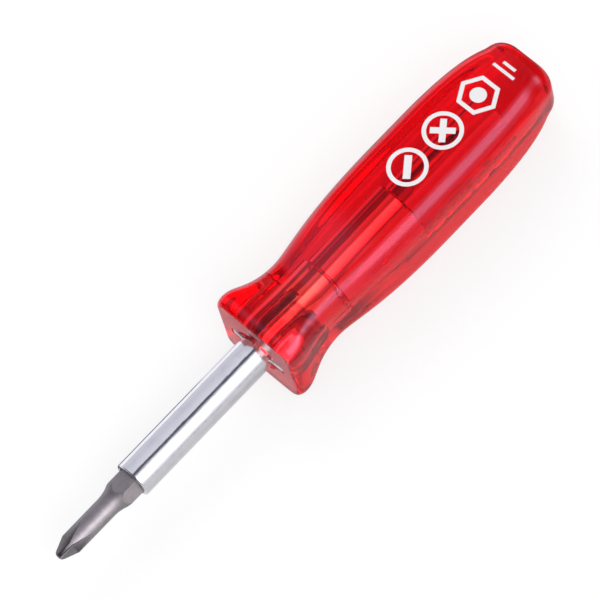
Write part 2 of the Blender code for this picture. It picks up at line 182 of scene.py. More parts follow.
class Graph:
    """A node tree that is filled from Python."""

    def __init__(self, tree: bpy.types.NodeTree) -> None:
        """Start on an empty tree."""
        self.tree = tree
        tree.nodes.clear()

    def node(
        self,
        kind: str,
        settings: dict[str, Any] | None = None,
        sockets: dict[str | int, Any] | None = None,
    ) -> Outputs:
        """Add any node.

        Args:
            kind: The node's type.
            settings: Its settings, which are set first, with a ramp's stops as "stops".
            sockets: Values or links of its inputs.

        Returns:
            The node's outputs.
        """
        made = self.tree.nodes.new(kind)
        for name, setting in (settings or {}).items():
            if name == "stops":
                self.set_stops(made.color_ramp.elements, setting)
            else:
                setattr(made, name, setting)
        for name, given in (sockets or {}).items():
            if isinstance(given, Value):
                self.tree.links.new(given.socket, made.inputs[name])
            else:
                made.inputs[name].default_value = given
        return Outputs(self, made)

    @staticmethod
    def set_stops(elements: Any, stops: Sequence[tuple[float, Colour]]) -> None:
        """Set the stops of a colour ramp.

        Args:
            elements: The ramp's elements.
            stops: Places from 0 to 1 and their colours, in order.
        """
        while len(elements) < len(stops):
            elements.new(1.0)
        for element, (place, colour) in zip(elements, stops):
            element.position = place
            element.color = (*colour, 1.0)

    def place(self) -> Value:
        """Object coordinates of the shaded point."""
        return self.node("ShaderNodeTexCoord")["Object"]

    def parts(self, vector: Value) -> tuple[Value, Value, Value]:
        """The three parts of a vector."""
        split = self.node("ShaderNodeSeparateXYZ", None, {"Vector": vector})
        return split["X"], split["Y"], split["Z"]

    def attribute(self, name: str) -> Value:
        """The value of a mark on the mesh."""
        return self.node("ShaderNodeAttribute", {"attribute_name": name})["Fac"]

    def ray(self, kind: str) -> Value:
        """1 for rays of one kind, such as Camera, and 0 for others."""
        return self.node("ShaderNodeLightPath")[f"Is {kind} Ray"]

    def mirror(self) -> Value:
        """1 for rays that a polished surface mirrors, and 0 for others."""
        return self.ray("Glossy") * (1.0 - self.ray("Transmission"))

    def blend(self, share: Value, first: Colour | Value, second: Colour | Value) -> Value:
        """A colour between two.

        Args:
            share: 0 for the first colour, 1 for the second.
            first: Colour at 0.
            second: Colour at 1.

        Returns:
            The mixed colour.
        """
        ends = [end if isinstance(end, Value) else (*end, 1.0) for end in (first, second)]
        return self.node("ShaderNodeMix", {"data_type": "RGBA"}, {0: share, 6: ends[0], 7: ends[1]})[2]

    def bump(self, height: Value, relief: Span) -> Value:
        """A normal raised by a height, where the relief is the share that shows and the depth of 1."""
        sockets = {"Height": height, "Strength": relief[0], "Distance": relief[1]}
        return self.node("ShaderNodeBump", None, sockets)["Normal"]

    def surface(self, shader: Value, volume: Value | None = None) -> None:
        """Link a shader, and a volume if there is one, to the material's output."""
        inside = {} if volume is None else {"Volume": volume}
        self.node("ShaderNodeOutputMaterial", None, {"Surface": shader, **inside})

    def principled(self, sockets: dict[str, Any], volume: Value | None = None) -> None:
        """Add the main shader with these sockets and link it to the material's output."""
        self.surface(self.node("ShaderNodeBsdfPrincipled", None, sockets)["BSDF"], volume)


def new_material(name: str) -> tuple[bpy.types.Material, Graph]:
    """Make an empty node material.

    Args:
        name: The material's name.

    Returns:
        The material and its graph.
    """
    material = bpy.data.materials.new(name)
    material.use_nodes = True
    return material, Graph(material.node_tree)


@dataclass(frozen=True)
class Grain:
    """A noise pattern: waves per metre, finer octaves, their strength, stretch and the range that shows."""

    scale: float
    detail: float = 3.0
    rough: float = 0.55
    stretch: Triple = EVEN
    shows: Span | None = None

    def read(self, graph: Graph) -> Value:
        """Add the pattern to a graph.

        Args:
            graph: The material's graph.

        Returns:
            The pattern at the shaded point, from 0 to 1.
        """
        place = graph.place()
        if self.stretch != EVEN:
            place = graph.node("ShaderNodeMapping", None, {"Vector": place, "Scale": self.stretch})["Vector"]
        sockets = {"Vector": place, "Scale": self.scale, "Detail": self.detail, "Roughness": self.rough}
        noise = graph.node("ShaderNodeTexNoise", None, sockets)["Fac"]
        return noise.step(*self.shows) if self.shows else noise


@dataclass(frozen=True)
class ClearRed:
    """Clear red moulded plastic, with faint flow waves, handling marks, painted shade in the mouth and its
    slots, and a satin front.
    """

    tint: Colour = (1.0, 0.545, 0.405)
    # Dark red painted into the mouth and its slots as their shade.
    mouth_shade: Colour = (0.15, 0.06, 0.055)
    absorbed: Colour = (0.983, 0.15, 0.33)
    density: float = 200.0
    index: float = 1.475
    gloss: Colour = (1.0, 0.60, 0.95)
    polish: float = 0.012
    handled: Grain = Grain(520.0, 4.0, shows=(0.52, 0.78))
    handled_rough: float = 0.05
    scratch: Grain = Grain(5200.0, 2.0, stretch=(0.06, 1.0, 1.0), shows=(0.66, 0.80))
    scratch_rough: float = 0.03
    # Patches in the painted shade of the mouth.
    shade_patches: Grain = Grain(330.0, shows=(0.30, 0.62))
    shade_patchiness: float = 0.6
    matt_rough: float = 0.12
    satin_rough: float = 0.36
    satin_coat: float = 0.75
    coat_rough: float = 0.36
    flow: Grain = Grain(190.0, 1.0, stretch=(0.35, 1.0, 1.0))
    relief: Span = (0.03, 0.00010)

    def make(self) -> bpy.types.Material:
        """Build the material.

        Returns:
            The material.
        """
        material, graph = new_material("handle_red")
        matt_and_shade, satin = graph.attribute("matt_and_shade"), graph.attribute("satin")
        patchy_shade = self.shade_patches.read(graph) * self.shade_patchiness + (1.0 - self.shade_patchiness)
        worn = self.handled.read(graph) * self.handled_rough + self.scratch.read(graph) * self.scratch_rough
        sockets = {
            # Painted shade: the marked mouth and slots are blended towards the dark red, in patches.
            "Base Color": graph.blend(matt_and_shade * patchy_shade, self.tint, self.mouth_shade),
            "Roughness": self.polish + worn + matt_and_shade * self.matt_rough + satin * self.satin_rough,
            "IOR": self.index,
            "Specular Tint": (*self.gloss, 1.0),
            "Transmission Weight": 1.0,
            "Coat Weight": satin * self.satin_coat,
            "Coat Roughness": self.coat_rough,
            "Normal": graph.bump(self.flow.read(graph), self.relief),
        }
        depth = {"Color": (*self.absorbed, 1.0), "Density": self.density}
        graph.principled(sockets, graph.node("ShaderNodeVolumeAbsorption", None, depth)["Volume"])
        return material


@dataclass(frozen=True)
class PlatedSteel:
    """Bright chrome plate with fine turning lines, an uneven ground and a breath of haze."""

    bright: Colour = (0.90, 0.90, 0.925)
    hazy: Colour = (0.83, 0.83, 0.87)
    polish: float = 0.045
    cloud: Grain = Grain(230.0, 4.0, shows=(0.42, 0.75))
    cloud_rough: float = 0.07
    lines: Grain = Grain(7000.0, 2.0, stretch=(1.0, 0.03, 0.03))
    line_rough: float = 0.03
    line_height: float = 0.03
    uneven: Grain = Grain(700.0, stretch=(0.30, 1.0, 1.0))
    relief: Span = (1.0, 0.00004)

    def make(self) -> bpy.types.Material:
        """Build the material.

        Returns:
            The material.
        """
        material, graph = new_material("shaft_chrome")
        cloud = self.cloud.read(graph)
        lines = self.lines.read(graph)
        sockets = {
            "Base Color": graph.blend(cloud, self.bright, self.hazy),
            "Metallic": 1.0,
            "Roughness": self.polish + cloud * self.cloud_rough + lines * self.line_rough,
            "Normal": graph.bump(lines * self.line_height + self.uneven.read(graph), self.relief),
        }
        graph.principled(sockets)
        return material


@dataclass(frozen=True)
class BlastedSteel:
    """Grey hardened steel with a blasted grain, drawing lines, darker patches, and painted shade in the cut
    flutes.
    """

    pale: Colour = (0.45, 0.41, 0.43)
    dark: Colour = (0.33, 0.304, 0.316)
    # Near-black steel painted into the flutes as their shade.
    flute_shade: Colour = (0.135, 0.127, 0.133)
    flute_shade_share: float = 0.85
    milled_polish: float = 0.14
    smooth: float = 0.46
    patch: Grain = Grain(420.0, 4.0, shows=(0.35, 0.72))
    patch_shade: float = 0.45
    grain: Grain = Grain(5200.0, rough=0.65)
    grain_shade: float = 0.2
    grain_rough: float = 0.16
    grain_height: float = 0.7
    grit: Grain = Grain(1700.0, 2.0)
    grit_shows: Span = (0.3, 0.7)
    grit_shade: float = 0.3
    grit_height: float = 2.0
    drawn: Grain = Grain(3800.0, 2.0, stretch=(0.05, 1.0, 1.0))
    drawn_shade: float = 0.1
    drawn_height: float = 0.3
    relief: Span = (0.22, 0.00004)

    def make(self) -> bpy.types.Material:
        """Build the material.

        Returns:
            The material.
        """
        material, graph = new_material("bit_steel")
        cut = graph.attribute("flute_shade")
        grain, grit, drawn = (pattern.read(graph) for pattern in (self.grain, self.grit, self.drawn))
        shade = self.patch.read(graph) * self.patch_shade + grain * self.grain_shade
        shade = shade + grit.step(*self.grit_shows) * self.grit_shade + drawn * self.drawn_shade
        height = grain * self.grain_height + drawn * self.drawn_height + grit * self.grit_height
        steel = graph.blend(shade, self.pale, self.dark)
        sockets = {
            # Painted shade: the marked flutes are blended towards the near-black steel.
            "Base Color": graph.blend(cut * self.flute_shade_share, steel, self.flute_shade),
            "Metallic": 1.0,
            "Roughness": self.smooth + grain * self.grain_rough - cut * self.milled_polish,
            "Normal": graph.bump(height, self.relief),
        }
        graph.principled(sockets)
        return material


@dataclass(frozen=True)
class GripSteel:
    """Steel of the ball grips, from polished balls to drawn wire, with an oily film."""

    name: str
    clean: Colour
    oily: Colour
    rough: float
    film: Grain
    film_rough: float = 0.15
    relief: Span = (0.05, 0.00001)

    def make(self) -> bpy.types.Material:
        """Build the material.

        Returns:
            The material.
        """
        material, graph = new_material(self.name)
        film = self.film.read(graph)
        sockets = {
            "Base Color": graph.blend(film, self.clean, self.oily),
            "Metallic": 1.0,
            "Roughness": self.rough + film * self.film_rough,
            "Normal": graph.bump(film, self.relief),
        }
        graph.principled(sockets)
        return material


@dataclass(frozen=True)
class PrintInk:
    """White pad-printed ink with thin spots."""

    full: Colour = (0.86, 0.85, 0.86)
    thin: Colour = (0.80, 0.66, 0.68)
    worn: Grain = Grain(2600.0, 4.0, 0.6, shows=(0.58, 0.76))
    rough: float = 0.38
    film: Grain = Grain(700.0, 2.0)
    film_rough: float = 0.14
    relief: Span = (0.08, 0.00002)

    def make(self) -> bpy.types.Material:
        """Build the material.

        Returns:
            The material.
        """
        material, graph = new_material("print_white")
        film = self.film.read(graph)
        sockets = {
            "Base Color": graph.blend(self.worn.read(graph), self.full, self.thin),
            "Roughness": self.rough + film * self.film_rough,
            "Normal": graph.bump(film, self.relief),
        }
        graph.principled(sockets)
        return material


@dataclass(frozen=True)
class WhiteFloor:
    """Pale paper that looks white and keeps the shadow, with painted light and painted shade where the tool
    mirrors it or shows it: sheens beside the tool, less light seen through the handle towards its rear and
    butt, and dark painted shadow strips beside the tool and behind the butt.
    """

    pale: Colour = (0.28, 0.28, 0.28)
    paler: Colour = (0.30, 0.30, 0.30)
    paper: Grain = Grain(900.0)
    unseen: Colour = (0.62, 0.62, 0.62)
    rough: float = 0.9
    seen_light: float = 0.73
    through_light: float = 0.41
    rear: Span = (-0.01, 0.09)
    rear_loss: float = 0.15
    butt: Span = (0.083, 0.095)
    butt_loss: float = 0.20
    far_beside: Span = (0.002, 0.012)
    far_along: Span = (0.03, 0.06)
    far_loss: float = 0.05
    sheen_tint: Colour = (0.95, 0.93, 1.08)
    sheen_beside: tuple[tuple[Span, float], ...] = (((0.024, 0.06), 0.28), ((-0.025, 0.0), 0.15))
    sheen_free: Span = (0.05, 0.10)
    sheen_loss: float = 0.75
    # Colour of the painted shadow beside the tool and behind the butt, seen only in mirrored rays.
    strip: Colour = (0.05, 0.05, 0.06)
    strip_near: Span = (0.006, 0.012)
    strip_far: Span = (0.024, 0.036)
    strip_widens: float = 0.012
    gap_front: Span = (-0.032, -0.026)
    gap_back: Span = (-0.014, -0.008)
    behind: Span = (0.094, 0.106)
    behind_share: float = 0.6

    def make(self) -> bpy.types.Material:
        """Build the material.

        Returns:
            The material.
        """
        material, graph = new_material("floor_white")
        x, y, _ = graph.parts(graph.place())
        seen, through, mirror = graph.ray("Camera"), graph.ray("Transmission"), graph.mirror()
        rear, butt = x.step(*self.rear), x.step(*self.butt)
        far = y.step(*self.far_beside) * x.step(*self.far_along) * (1.0 - butt)
        # Painted light: glowing sheens beside the tool for mirrored rays, weaker near the handle's rear, and
        # less light seen through the handle towards its rear and butt.
        shaded = rear * (1.0 - y.step(*self.sheen_free)) * self.sheen_loss
        lit = [y.step(*span) * light for span, light in self.sheen_beside]
        shown = self.through_light - rear * self.rear_loss - butt * self.butt_loss - far * self.far_loss
        strength = seen * self.seen_light + mirror * ((lit[0] + lit[1]) * (1.0 - shaded)) + through * shown
        # Painted shadow: a dark strip beside the tool, with a gap near the handle's front, and a darker
        # floor behind the butt, for mirrored rays only.
        beside = y.step(*self.strip_near) * (1.0 - (y - rear * self.strip_widens).step(*self.strip_far))
        strip = beside * mirror * (1.0 - x.step(*self.gap_front) * (1.0 - x.step(*self.gap_back)))
        strip = strip + x.step(*self.behind) * mirror * self.behind_share * (1.0 - strip)
        white = graph.blend(self.paper.read(graph), self.pale, self.paler)
        sockets = {
            "Base Color": graph.blend(strip, graph.blend(seen, self.unseen, white), self.strip),
            "Roughness": self.rough,
            "Specular IOR Level": 0.0,
            "Emission Color": graph.blend(strength, BLACK, graph.blend(mirror, WHITE, self.sheen_tint)),
            "Emission Strength": 1.0,
        }
        graph.principled(sockets)
        return material


@dataclass(frozen=True)
class MirrorGlow:
    """A light that only polished faces mirror, and that fades to the front and away from the axis."""

    name: str
    light: Colour
    along: Span
    off_axis: Span

    def make(self) -> bpy.types.Material:
        """Build the material.

        Returns:
            The material.
        """
        material, graph = new_material(self.name)
        x, y, z = graph.parts(graph.place())
        near = 1.0 - (y * y + z * z).step(*(radius * radius for radius in self.off_axis))
        share = graph.mirror() * near * x.step(*self.along)
        clear = graph.node("ShaderNodeBsdfTransparent")["BSDF"]
        glow = graph.node("ShaderNodeEmission", None, {"Color": (*self.light, 1.0)})["Emission"]
        graph.surface(graph.node("ShaderNodeMixShader", None, {0: share, 1: clear, 2: glow})["Shader"])
        return material


def start_piece() -> None:
    """Leave edit mode and select nothing."""
    if bpy.context.mode != "OBJECT":
        bpy.ops.object.mode_set(mode="OBJECT")
    bpy.ops.object.select_all(action="DESELECT")


def make_active(obj: bpy.types.Object) -> None:
    """Select one object alone and make it the active one.

    Args:
        obj: The object.
    """
    start_piece()
    obj.select_set(True)
    bpy.context.view_layer.objects.active = obj


@contextmanager
def edit_mode(obj: bpy.types.Object) -> Iterator[None]:
    """Open a piece in edit mode with all of it selected, and close it again.

    Args:
        obj: The piece.

    Yields:
        Nothing.
    """
    make_active(obj)
    bpy.ops.object.mode_set(mode="EDIT")
    bpy.ops.mesh.select_all(action="SELECT")
    yield
    bpy.ops.object.mode_set(mode="OBJECT")


def named(name: str) -> bpy.types.Object:
    """Name the active object and its mesh.

    Args:
        name: The new name.

    Returns:
        The object.
    """
    obj = bpy.context.object
    obj.name = name
    obj.data.name = name
    return obj


def settle(obj: bpy.types.Object, place: Matrix) -> None:
    """Put an object in place and move the place into its mesh.

    Args:
        obj: The object.
        place: What its present place is moved by.
    """
    make_active(obj)
    obj.matrix_world = place @ obj.matrix_world
    bpy.ops.object.transform_apply(location=True, rotation=True, scale=True)


def apply_modifier(obj: bpy.types.Object, kind: str, **settings: Any) -> None:
    """Add a modifier and apply it.

    Args:
        obj: The piece.
        kind: The modifier's type.
        settings: Its settings.
    """
    make_active(obj)
    modifier = obj.modifiers.new(kind.title(), kind)
    for name, setting in settings.items():
        setattr(modifier, name, setting)
    bpy.ops.object.modifier_apply(modifier=modifier.name)


def shape_with(target: bpy.types.Object, tool: bpy.types.Object, how: Cut) -> None:
    """Cut, join or trim a piece with a tool, which is then thrown away."""
    apply_modifier(target, "BOOLEAN", operation=how.value, object=tool, solver="EXACT")
    bpy.data.objects.remove(tool)


def weld(obj: bpy.types.Object) -> None:
    """Merge points that lie on each other, which drops the faces without area.

    Args:
        obj: The piece.
    """
    with edit_mode(obj):
        bpy.ops.mesh.remove_doubles(threshold=WELD)
        bpy.ops.mesh.dissolve_degenerate(threshold=WELD)


def face_outwards() -> None:
    """Turn all faces of the mesh in edit mode outwards."""
    bpy.ops.mesh.select_all(action="SELECT")
    bpy.ops.mesh.normals_make_consistent(inside=False)


def fill_ring(obj: bpy.types.Object, chosen: Iterable[int]) -> None:
    """Fill a ring of points of the mesh in edit mode with one face, and leave only that selected.

    Args:
        obj: The piece.
        chosen: Numbers of the ring's points.
    """
    bpy.ops.mesh.select_mode(type="VERT")
    bpy.ops.mesh.select_all(action="DESELECT")
    shape = bmesh.from_edit_mesh(obj.data)
    shape.verts.ensure_lookup_table()
    for index in chosen:
        shape.verts[index].select = True
    shape.select_flush(True)
    bmesh.update_edit_mesh(obj.data)
    bpy.ops.mesh.edge_face_add()


def partner(vertex: bmesh.types.BMVert) -> bmesh.types.BMVert:
    """The selected vertex that was extruded from this one."""
    ends = (edge.other_vert(vertex) for edge in vertex.link_edges)
    return next(end for end in ends if end.select)


def loft(name: str, rings: Sequence[Sequence[Vector]], capped: bool = True) -> bpy.types.Object:
    """Extrude a ring of points from one ring to the next.

    Args:
        name: Name of the piece.
        rings: Rings of equal count.
        capped: Whether both ends are filled.

    Returns:
        The lofted piece.
    """
    start_piece()
    bpy.ops.mesh.primitive_circle_add(vertices=len(rings[0]), radius=MM, fill_type="NOTHING")
    obj = named(name)
    first = order = list(range(len(rings[0])))
    with edit_mode(obj):
        for count, ring in enumerate(rings):
            if count:
                bpy.ops.mesh.extrude_region_move()
            shape = bmesh.from_edit_mesh(obj.data)
            shape.verts.ensure_lookup_table()
            if count:
                order = [partner(shape.verts[index]).index for index in order]
            for index, point in zip(order, ring):
                shape.verts[index].co = point
            bmesh.update_edit_mesh(obj.data)
        if capped:
            for end in (order, first):
                fill_ring(obj, end)
        face_outwards()
    return obj


def turned(name: str, outline: Sequence[Span], steps: int) -> bpy.types.Object:
    """Turn an outline about the X axis.

    Args:
        name: Name of the piece.
        outline: (along, radius) points from one end to the other.
        steps: Points round the axis.

    Returns:
        The turned piece.
    """
    turns = [2 * math.pi * i / steps for i in range(steps)]
    round_axis = [(math.cos(turn), math.sin(turn)) for turn in turns]
    rings = [[Vector((along, radius * y, radius * z)) for y, z in round_axis] for along, radius in outline]
    return loft(name, rings)


def rod(
    name: str,
    sides: int,
    radius: float,
    depth: float,
    at: Sequence[float],
    turn: Triple = UPRIGHT,
    ends: str = "NGON",
) -> bpy.types.Object:
    """Add a straight rod.

    Args:
        name: Name of the rod.
        sides: Its number of sides.
        radius: Radius of its corners.
        depth: Its length.
        at: Its middle.
        turn: UPRIGHT for along Z, or LEVEL for along X with flats up and down where it has six sides.
        ends: How its ends are filled.

    Returns:
        The rod.
    """
    start_piece()
    bpy.ops.mesh.primitive_cylinder_add(
        vertices=sides, radius=radius, depth=depth, end_fill_type=ends, location=at, rotation=turn
    )
    return named(name)


def bar(name: str, sides: int, radius: float, start: float, end: float) -> bpy.types.Object:
    """A straight bar along X between two places."""
    return rod(name, sides, radius, end - start, ((start + end) / 2, 0.0, 0.0), LEVEL)


def block(name: str, size: Triple, place: Matrix, edge: float = 0.0) -> bpy.types.Object:
    """A box with rounded edges.

    Args:
        name: Name of the piece.
        size: Its three sizes.
        place: Where its middle goes.
        edge: Rounding of its edges, or 0 for sharp ones.

    Returns:
        The box.
    """
    start_piece()
    bpy.ops.mesh.primitive_cube_add(size=1.0)
    obj = named(name)
    obj.scale = size
    settle(obj, HERE)
    if edge:
        with edit_mode(obj):
            bpy.ops.mesh.bevel(offset=edge, segments=EDGE_STEPS, affect="EDGES")
    settle(obj, place)
    return obj


def dress(obj: bpy.types.Object, material: bpy.types.Material, angle: float) -> None:
    """Smooth a piece and give it its material.

    Args:
        obj: The piece.
        material: Its material.
        angle: Degrees between two faces up to which their edge is smooth.
    """
    make_active(obj)
    bpy.ops.object.shade_smooth_by_angle(angle=math.radians(angle))
    apply_modifier(obj, "WEIGHTED_NORMAL", keep_sharp=True, weight=NORMAL_WEIGHT)
    obj.data.materials.clear()
    obj.data.materials.append(material)


def hand_over(obj: bpy.types.Object, body: str, node: str | None = None) -> None:
    """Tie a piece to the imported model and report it.

    Args:
        obj: The piece.
        body: The body that it rides on.
        node: The node that it stands for, if any.
    """
    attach(obj, body)
    if node:
        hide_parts(node)
    LOG.info("%s rides on %s with %d faces", obj.name, body, len(obj.data.polygons))


def bezier(start: Vector, leave: Vector, arrive: Vector, end: Vector, steps: int) -> list[Vector]:
    """Points of one cubic curve.

    Args:
        start: Its start.
        leave: The point that it leaves its start towards.
        arrive: The point that it comes to its end from.
        end: Its end.
        steps: Number of points.

    Returns:
        The points, with the start left out.
    """
    points = []
    for i in range(1, steps + 1):
        t = i / steps
        rest = 1.0 - t
        near = start * rest**3 + leave * (3 * rest * rest * t)
        far = arrive * (3 * rest * t * t) + end * t**3
        points.append(near + far)
    return points


@dataclass(frozen=True)
class Section:
    """One ring of the handle: distance from its front face, half width and corner radius."""

    along: float
    half: float
    corner: float


@dataclass
class Handle:
    """The clear handle with its bore, the slots of its mouth and its printed symbols."""

    face_x: float = field(init=False)
    length: float = field(init=False)
    half: float = field(init=False)
    axis_z: float = field(init=False)
    waist: float = 22.8 * MM / 2
    heel: float = 22.7 * MM / 2
    flare_at: float = 3.0 * MM
    waist_at: float = 18.9 * MM
    belly_at: float = 64.0 * MM
    belly_flat: float = 8.0 * MM
    flare_leave: float = 4.5 * MM
    waist_arrive: float = 9.2 * MM
    waist_leave: float = 7.1 * MM
    belly_arrive: float = 31.0 * MM
    belly_leave: float = 4.0 * MM
    heel_arrive: Span = (-8.5 * MM, 3.2 * MM)
    flare_corner: float = 4.6 * MM
    waist_corner: float = 6.0 * MM
    belly_corner: float = 7.4 * MM
    heel_corner: float = 7.6 * MM
    front_round: float = 1.4 * MM
    butt_round: float = 5.7 * MM
    butt_crown: float = 1.0 * MM
    crown_shares: tuple[float, ...] = (0.75, 0.5, 0.25, 0.08)
    rim_reach: float = 0.2 * MM
    rim_inset: float = 0.25 * MM
    bore_radius: float = 5.863 * MM
    mouth_radius: float = 6.863 * MM
    mouth_depth: float = 27.0 * MM
    mouth_edge: float = 0.4 * MM
    lip_depth: float = 2.5 * MM
    shoulder: float = 55.9 * MM
    rear_radius: float = 4.266 * MM
    rear_depth: float = 92.1 * MM
    drill_shoulder: Span = (0.32, 0.72)
    drill_point: float = 0.5
    slot_depth: float = 17.0 * MM
    slot_width: float = 3.2 * MM
    slot_span: float = 19.22 * MM
    slot_edge: float = 0.35 * MM
    # Painted shade fills the mouth up to this depth at this share, and the far slot at its own share.
    shaded_depth: float = 15.5 * MM
    mouth_shade_share: float = 0.7
    far_slot: float = 0.4
    face_slack: float = 0.05 * MM
    wall_slack: float = 0.1 * MM
    facing: float = 0.95
    front_steps: int = 5
    flare_steps: int = 9
    belly_steps: int = 12
    heel_steps: int = 9
    butt_steps: int = 6
    corner_steps: int = 8
    flat_steps: int = 3
    skin_levels: int = 2
    bore_steps: int = 128
    smooth: float = 32.0

    def __post_init__(self) -> None:
        """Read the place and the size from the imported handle."""
        low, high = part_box("handle")
        self.face_x = low.x
        self.length = high.x - low.x
        self.half = (high.z - low.z) / 2
        self.axis_z = (high.z + low.z) / 2

    def heel_at(self) -> float:
        """Distance at which the rounding of the butt starts."""
        return self.length - self.butt_crown - self.butt_round

    def corner_at(self, along: float) -> float:
        """Corner radius of a ring.

        Args:
            along: The ring's distance from the front face.

        Returns:
            The radius.
        """
        knots = (
            (self.flare_at, self.flare_corner),
            (self.waist_at, self.waist_corner),
            (self.belly_at, self.belly_corner),
            (self.heel_at(), self.heel_corner),
        )
        for (low, first), (high, last) in zip(knots, knots[1:]):
            if along <= high:
                return first + (last - first) * max(0.0, (along - low) / (high - low))
        return self.heel_corner

    def profile(self) -> list[Vector]:
        """The long outline between the two rounded ends.

        Returns:
            Points of distance from the front face and half width.
        """
        flare = Vector((self.flare_at, self.half))
        neck = Vector((self.waist_at, self.waist))
        belly = Vector((self.belly_at, self.half))
        belly_end = Vector((self.belly_at + self.belly_flat, self.half))
        end = Vector((self.heel_at(), self.heel))
        ahead = Vector((1.0, 0.0))
        leave, arrive = flare + ahead * self.flare_leave, neck - ahead * self.waist_arrive
        line = [flare] + bezier(flare, leave, arrive, neck, self.flare_steps)
        leave, arrive = neck + ahead * self.waist_leave, belly - ahead * self.belly_arrive
        line += bezier(neck, leave, arrive, belly, self.belly_steps)
        line += [(belly + belly_end) / 2, belly_end]
        leave, arrive = belly_end + ahead * self.belly_leave, end + Vector(self.heel_arrive)
        return line + bezier(belly_end, leave, arrive, end, self.heel_steps)

    def sections(self) -> list[Section]:
        """Work out the rings of the handle.

        Returns:
            The rings from the front face to the butt.
        """
        rings = []
        for i in range(self.front_steps):
            turn = math.pi / 2 * i / self.front_steps
            inset = self.front_round * (1.0 - math.sin(turn))
            along = self.flare_at * (1.0 - math.cos(turn))
            rings.append(Section(along, self.half - inset, self.corner_at(0.0) - inset))
        rings += [Section(point.x, point.y, self.corner_at(point.x)) for point in self.profile()]
        for i in range(1, self.butt_steps + 1):
            turn = math.pi / 2 * i / self.butt_steps
            inset = self.butt_round * (1.0 - math.cos(turn))
            along = self.heel_at() + self.butt_round * math.sin(turn)
            rings.append(Section(along, self.heel - inset, self.corner_at(self.length) - inset))
        last = rings[-1]
        for share in self.crown_shares:
            rise = self.butt_crown * (1.0 - share * share)
            rings.append(Section(last.along + rise, last.half * share, last.corner * share))
        return rings

    def ring(self, section: Section) -> list[Vector]:
        """Place one ring round the tool axis.

        Args:
            section: The ring's sizes.

        Returns:
            Its points.
        """
        flat = section.half - section.corner
        side = []
        for i in range(self.corner_steps + 1):
            angle = math.pi / 2 * i / self.corner_steps
            side.append(Vector((math.cos(angle), math.sin(angle))) * section.corner + Vector((flat, flat)))
        for i in range(1, self.flat_steps):
            side.append(Vector((flat - 2 * flat * i / self.flat_steps, section.half)))
        turns = [Matrix.Rotation(math.pi / 2 * quarter, 2) for quarter in range(4)]
        points = [turn @ point for turn in turns for point in side]
        return [Vector((self.face_x + section.along, p.x, self.axis_z + p.y)) for p in points]

    def make_body(self) -> bpy.types.Object:
        """Loft and smooth the outside, then close its two ends.

        Returns:
            The solid handle.
        """
        body = loft("handle_shell", [self.ring(section) for section in self.sections()], capped=False)
        apply_modifier(body, "SUBSURF", levels=self.skin_levels, render_levels=self.skin_levels)
        with edit_mode(body):
            for at in (self.face_x, self.face_x + self.length):
                shape = bmesh.from_edit_mesh(body.data)
                shape.verts.ensure_lookup_table()
                near = (point for point in shape.verts if abs(point.co.x - at) < self.rim_reach)
                fill_ring(body, [point.index for point in near if point.is_boundary])
                bpy.ops.mesh.inset(thickness=self.rim_inset)
            face_outwards()
        return body

    def cut_bore(self, body: bpy.types.Object) -> None:
        """Cut the stepped bore and the four slots of the mouth.

        Args:
            body: The solid handle.
        """
        lip = self.mouth_radius + 2 * self.mouth_edge
        outline = [
            (-CUT_OVER, POINT),
            (-CUT_OVER, lip),
            (-self.mouth_edge, lip),
            (self.mouth_edge, self.mouth_radius),
            (self.lip_depth, self.mouth_radius),
            (self.shaded_depth, self.mouth_radius),
            (self.mouth_depth - self.mouth_edge, self.mouth_radius),
            (self.mouth_depth, self.mouth_radius - self.mouth_edge),
            (self.mouth_depth, self.bore_radius),
            (self.shoulder - self.mouth_edge, self.bore_radius),
            (self.shoulder, self.bore_radius - self.mouth_edge),
            (self.shoulder, self.rear_radius),
            (self.rear_depth, self.rear_radius),
        ]
        along, radius = (self.rear_radius * share for share in self.drill_shoulder)
        outline.append((self.rear_depth + along, radius))
        outline.append((self.rear_depth + self.rear_radius * self.drill_point, POINT))
        face = Matrix.Translation((self.face_x, 0.0, self.axis_z))
        bore = turned("bore_cutter", outline, self.bore_steps)
        settle(bore, face)
        shape_with(body, bore, Cut.TAKE)
        length = self.slot_depth + CUT_OVER
        middle = face @ Matrix.Translation(((self.slot_depth - CUT_OVER) / 2, 0.0, 0.0))
        for across in ((self.slot_span, self.slot_width), (self.slot_width, self.slot_span)):
            shape_with(body, block("slot", (length, *across), middle, self.slot_edge), Cut.TAKE)

    def shade_at(self, along: float, y: float, z: float) -> float:
        """How much painted shade darkens the plastic at a place behind the front face.

        Args:
            along: Distance from the front face.
            y: Distance from the tool axis along Y.
            z: Distance from the tool axis along Z.

        Returns:
            1 in the lip and the near slots, less in the far slot and the rest of the mouth, and 0 elsewhere.
        """
        off_axis = math.hypot(y, z)
        in_mouth = off_axis < self.mouth_radius + 2 * self.mouth_edge
        if in_mouth and along < self.lip_depth:
            return 1.0
        beyond_bore = off_axis > self.mouth_radius + self.wall_slack
        beside = max(abs(y), abs(z)) < self.slot_span / 2 + self.wall_slack
        if beyond_bore and beside and along < self.slot_depth + self.wall_slack:
            return self.far_slot if y > self.mouth_radius else 1.0
        return self.mouth_shade_share if in_mouth and along < self.shaded_depth else 0.0

    def mark_mouth(self, body: bpy.types.Object) -> None:
        """Mark the mouth and its slots for painted shade and a rougher finish, and the satin front face, for
        the material.

        Args:
            body: The handle with its bore.
        """
        for name in ("matt_and_shade", "satin"):
            body.data.attributes.new(name, "FLOAT", "FACE")
        matt_and_shade, satin = (body.data.attributes[name].data for name in ("matt_and_shade", "satin"))
        for face, shade_mark, front in zip(body.data.polygons, matt_and_shade, satin):
            along, y, z = face.center - Vector((self.face_x, 0.0, self.axis_z))
            if along > self.face_slack:
                shade_mark.value = self.shade_at(along, y, z)
            elif face.normal.x < -self.facing:
                front.value = 1.0

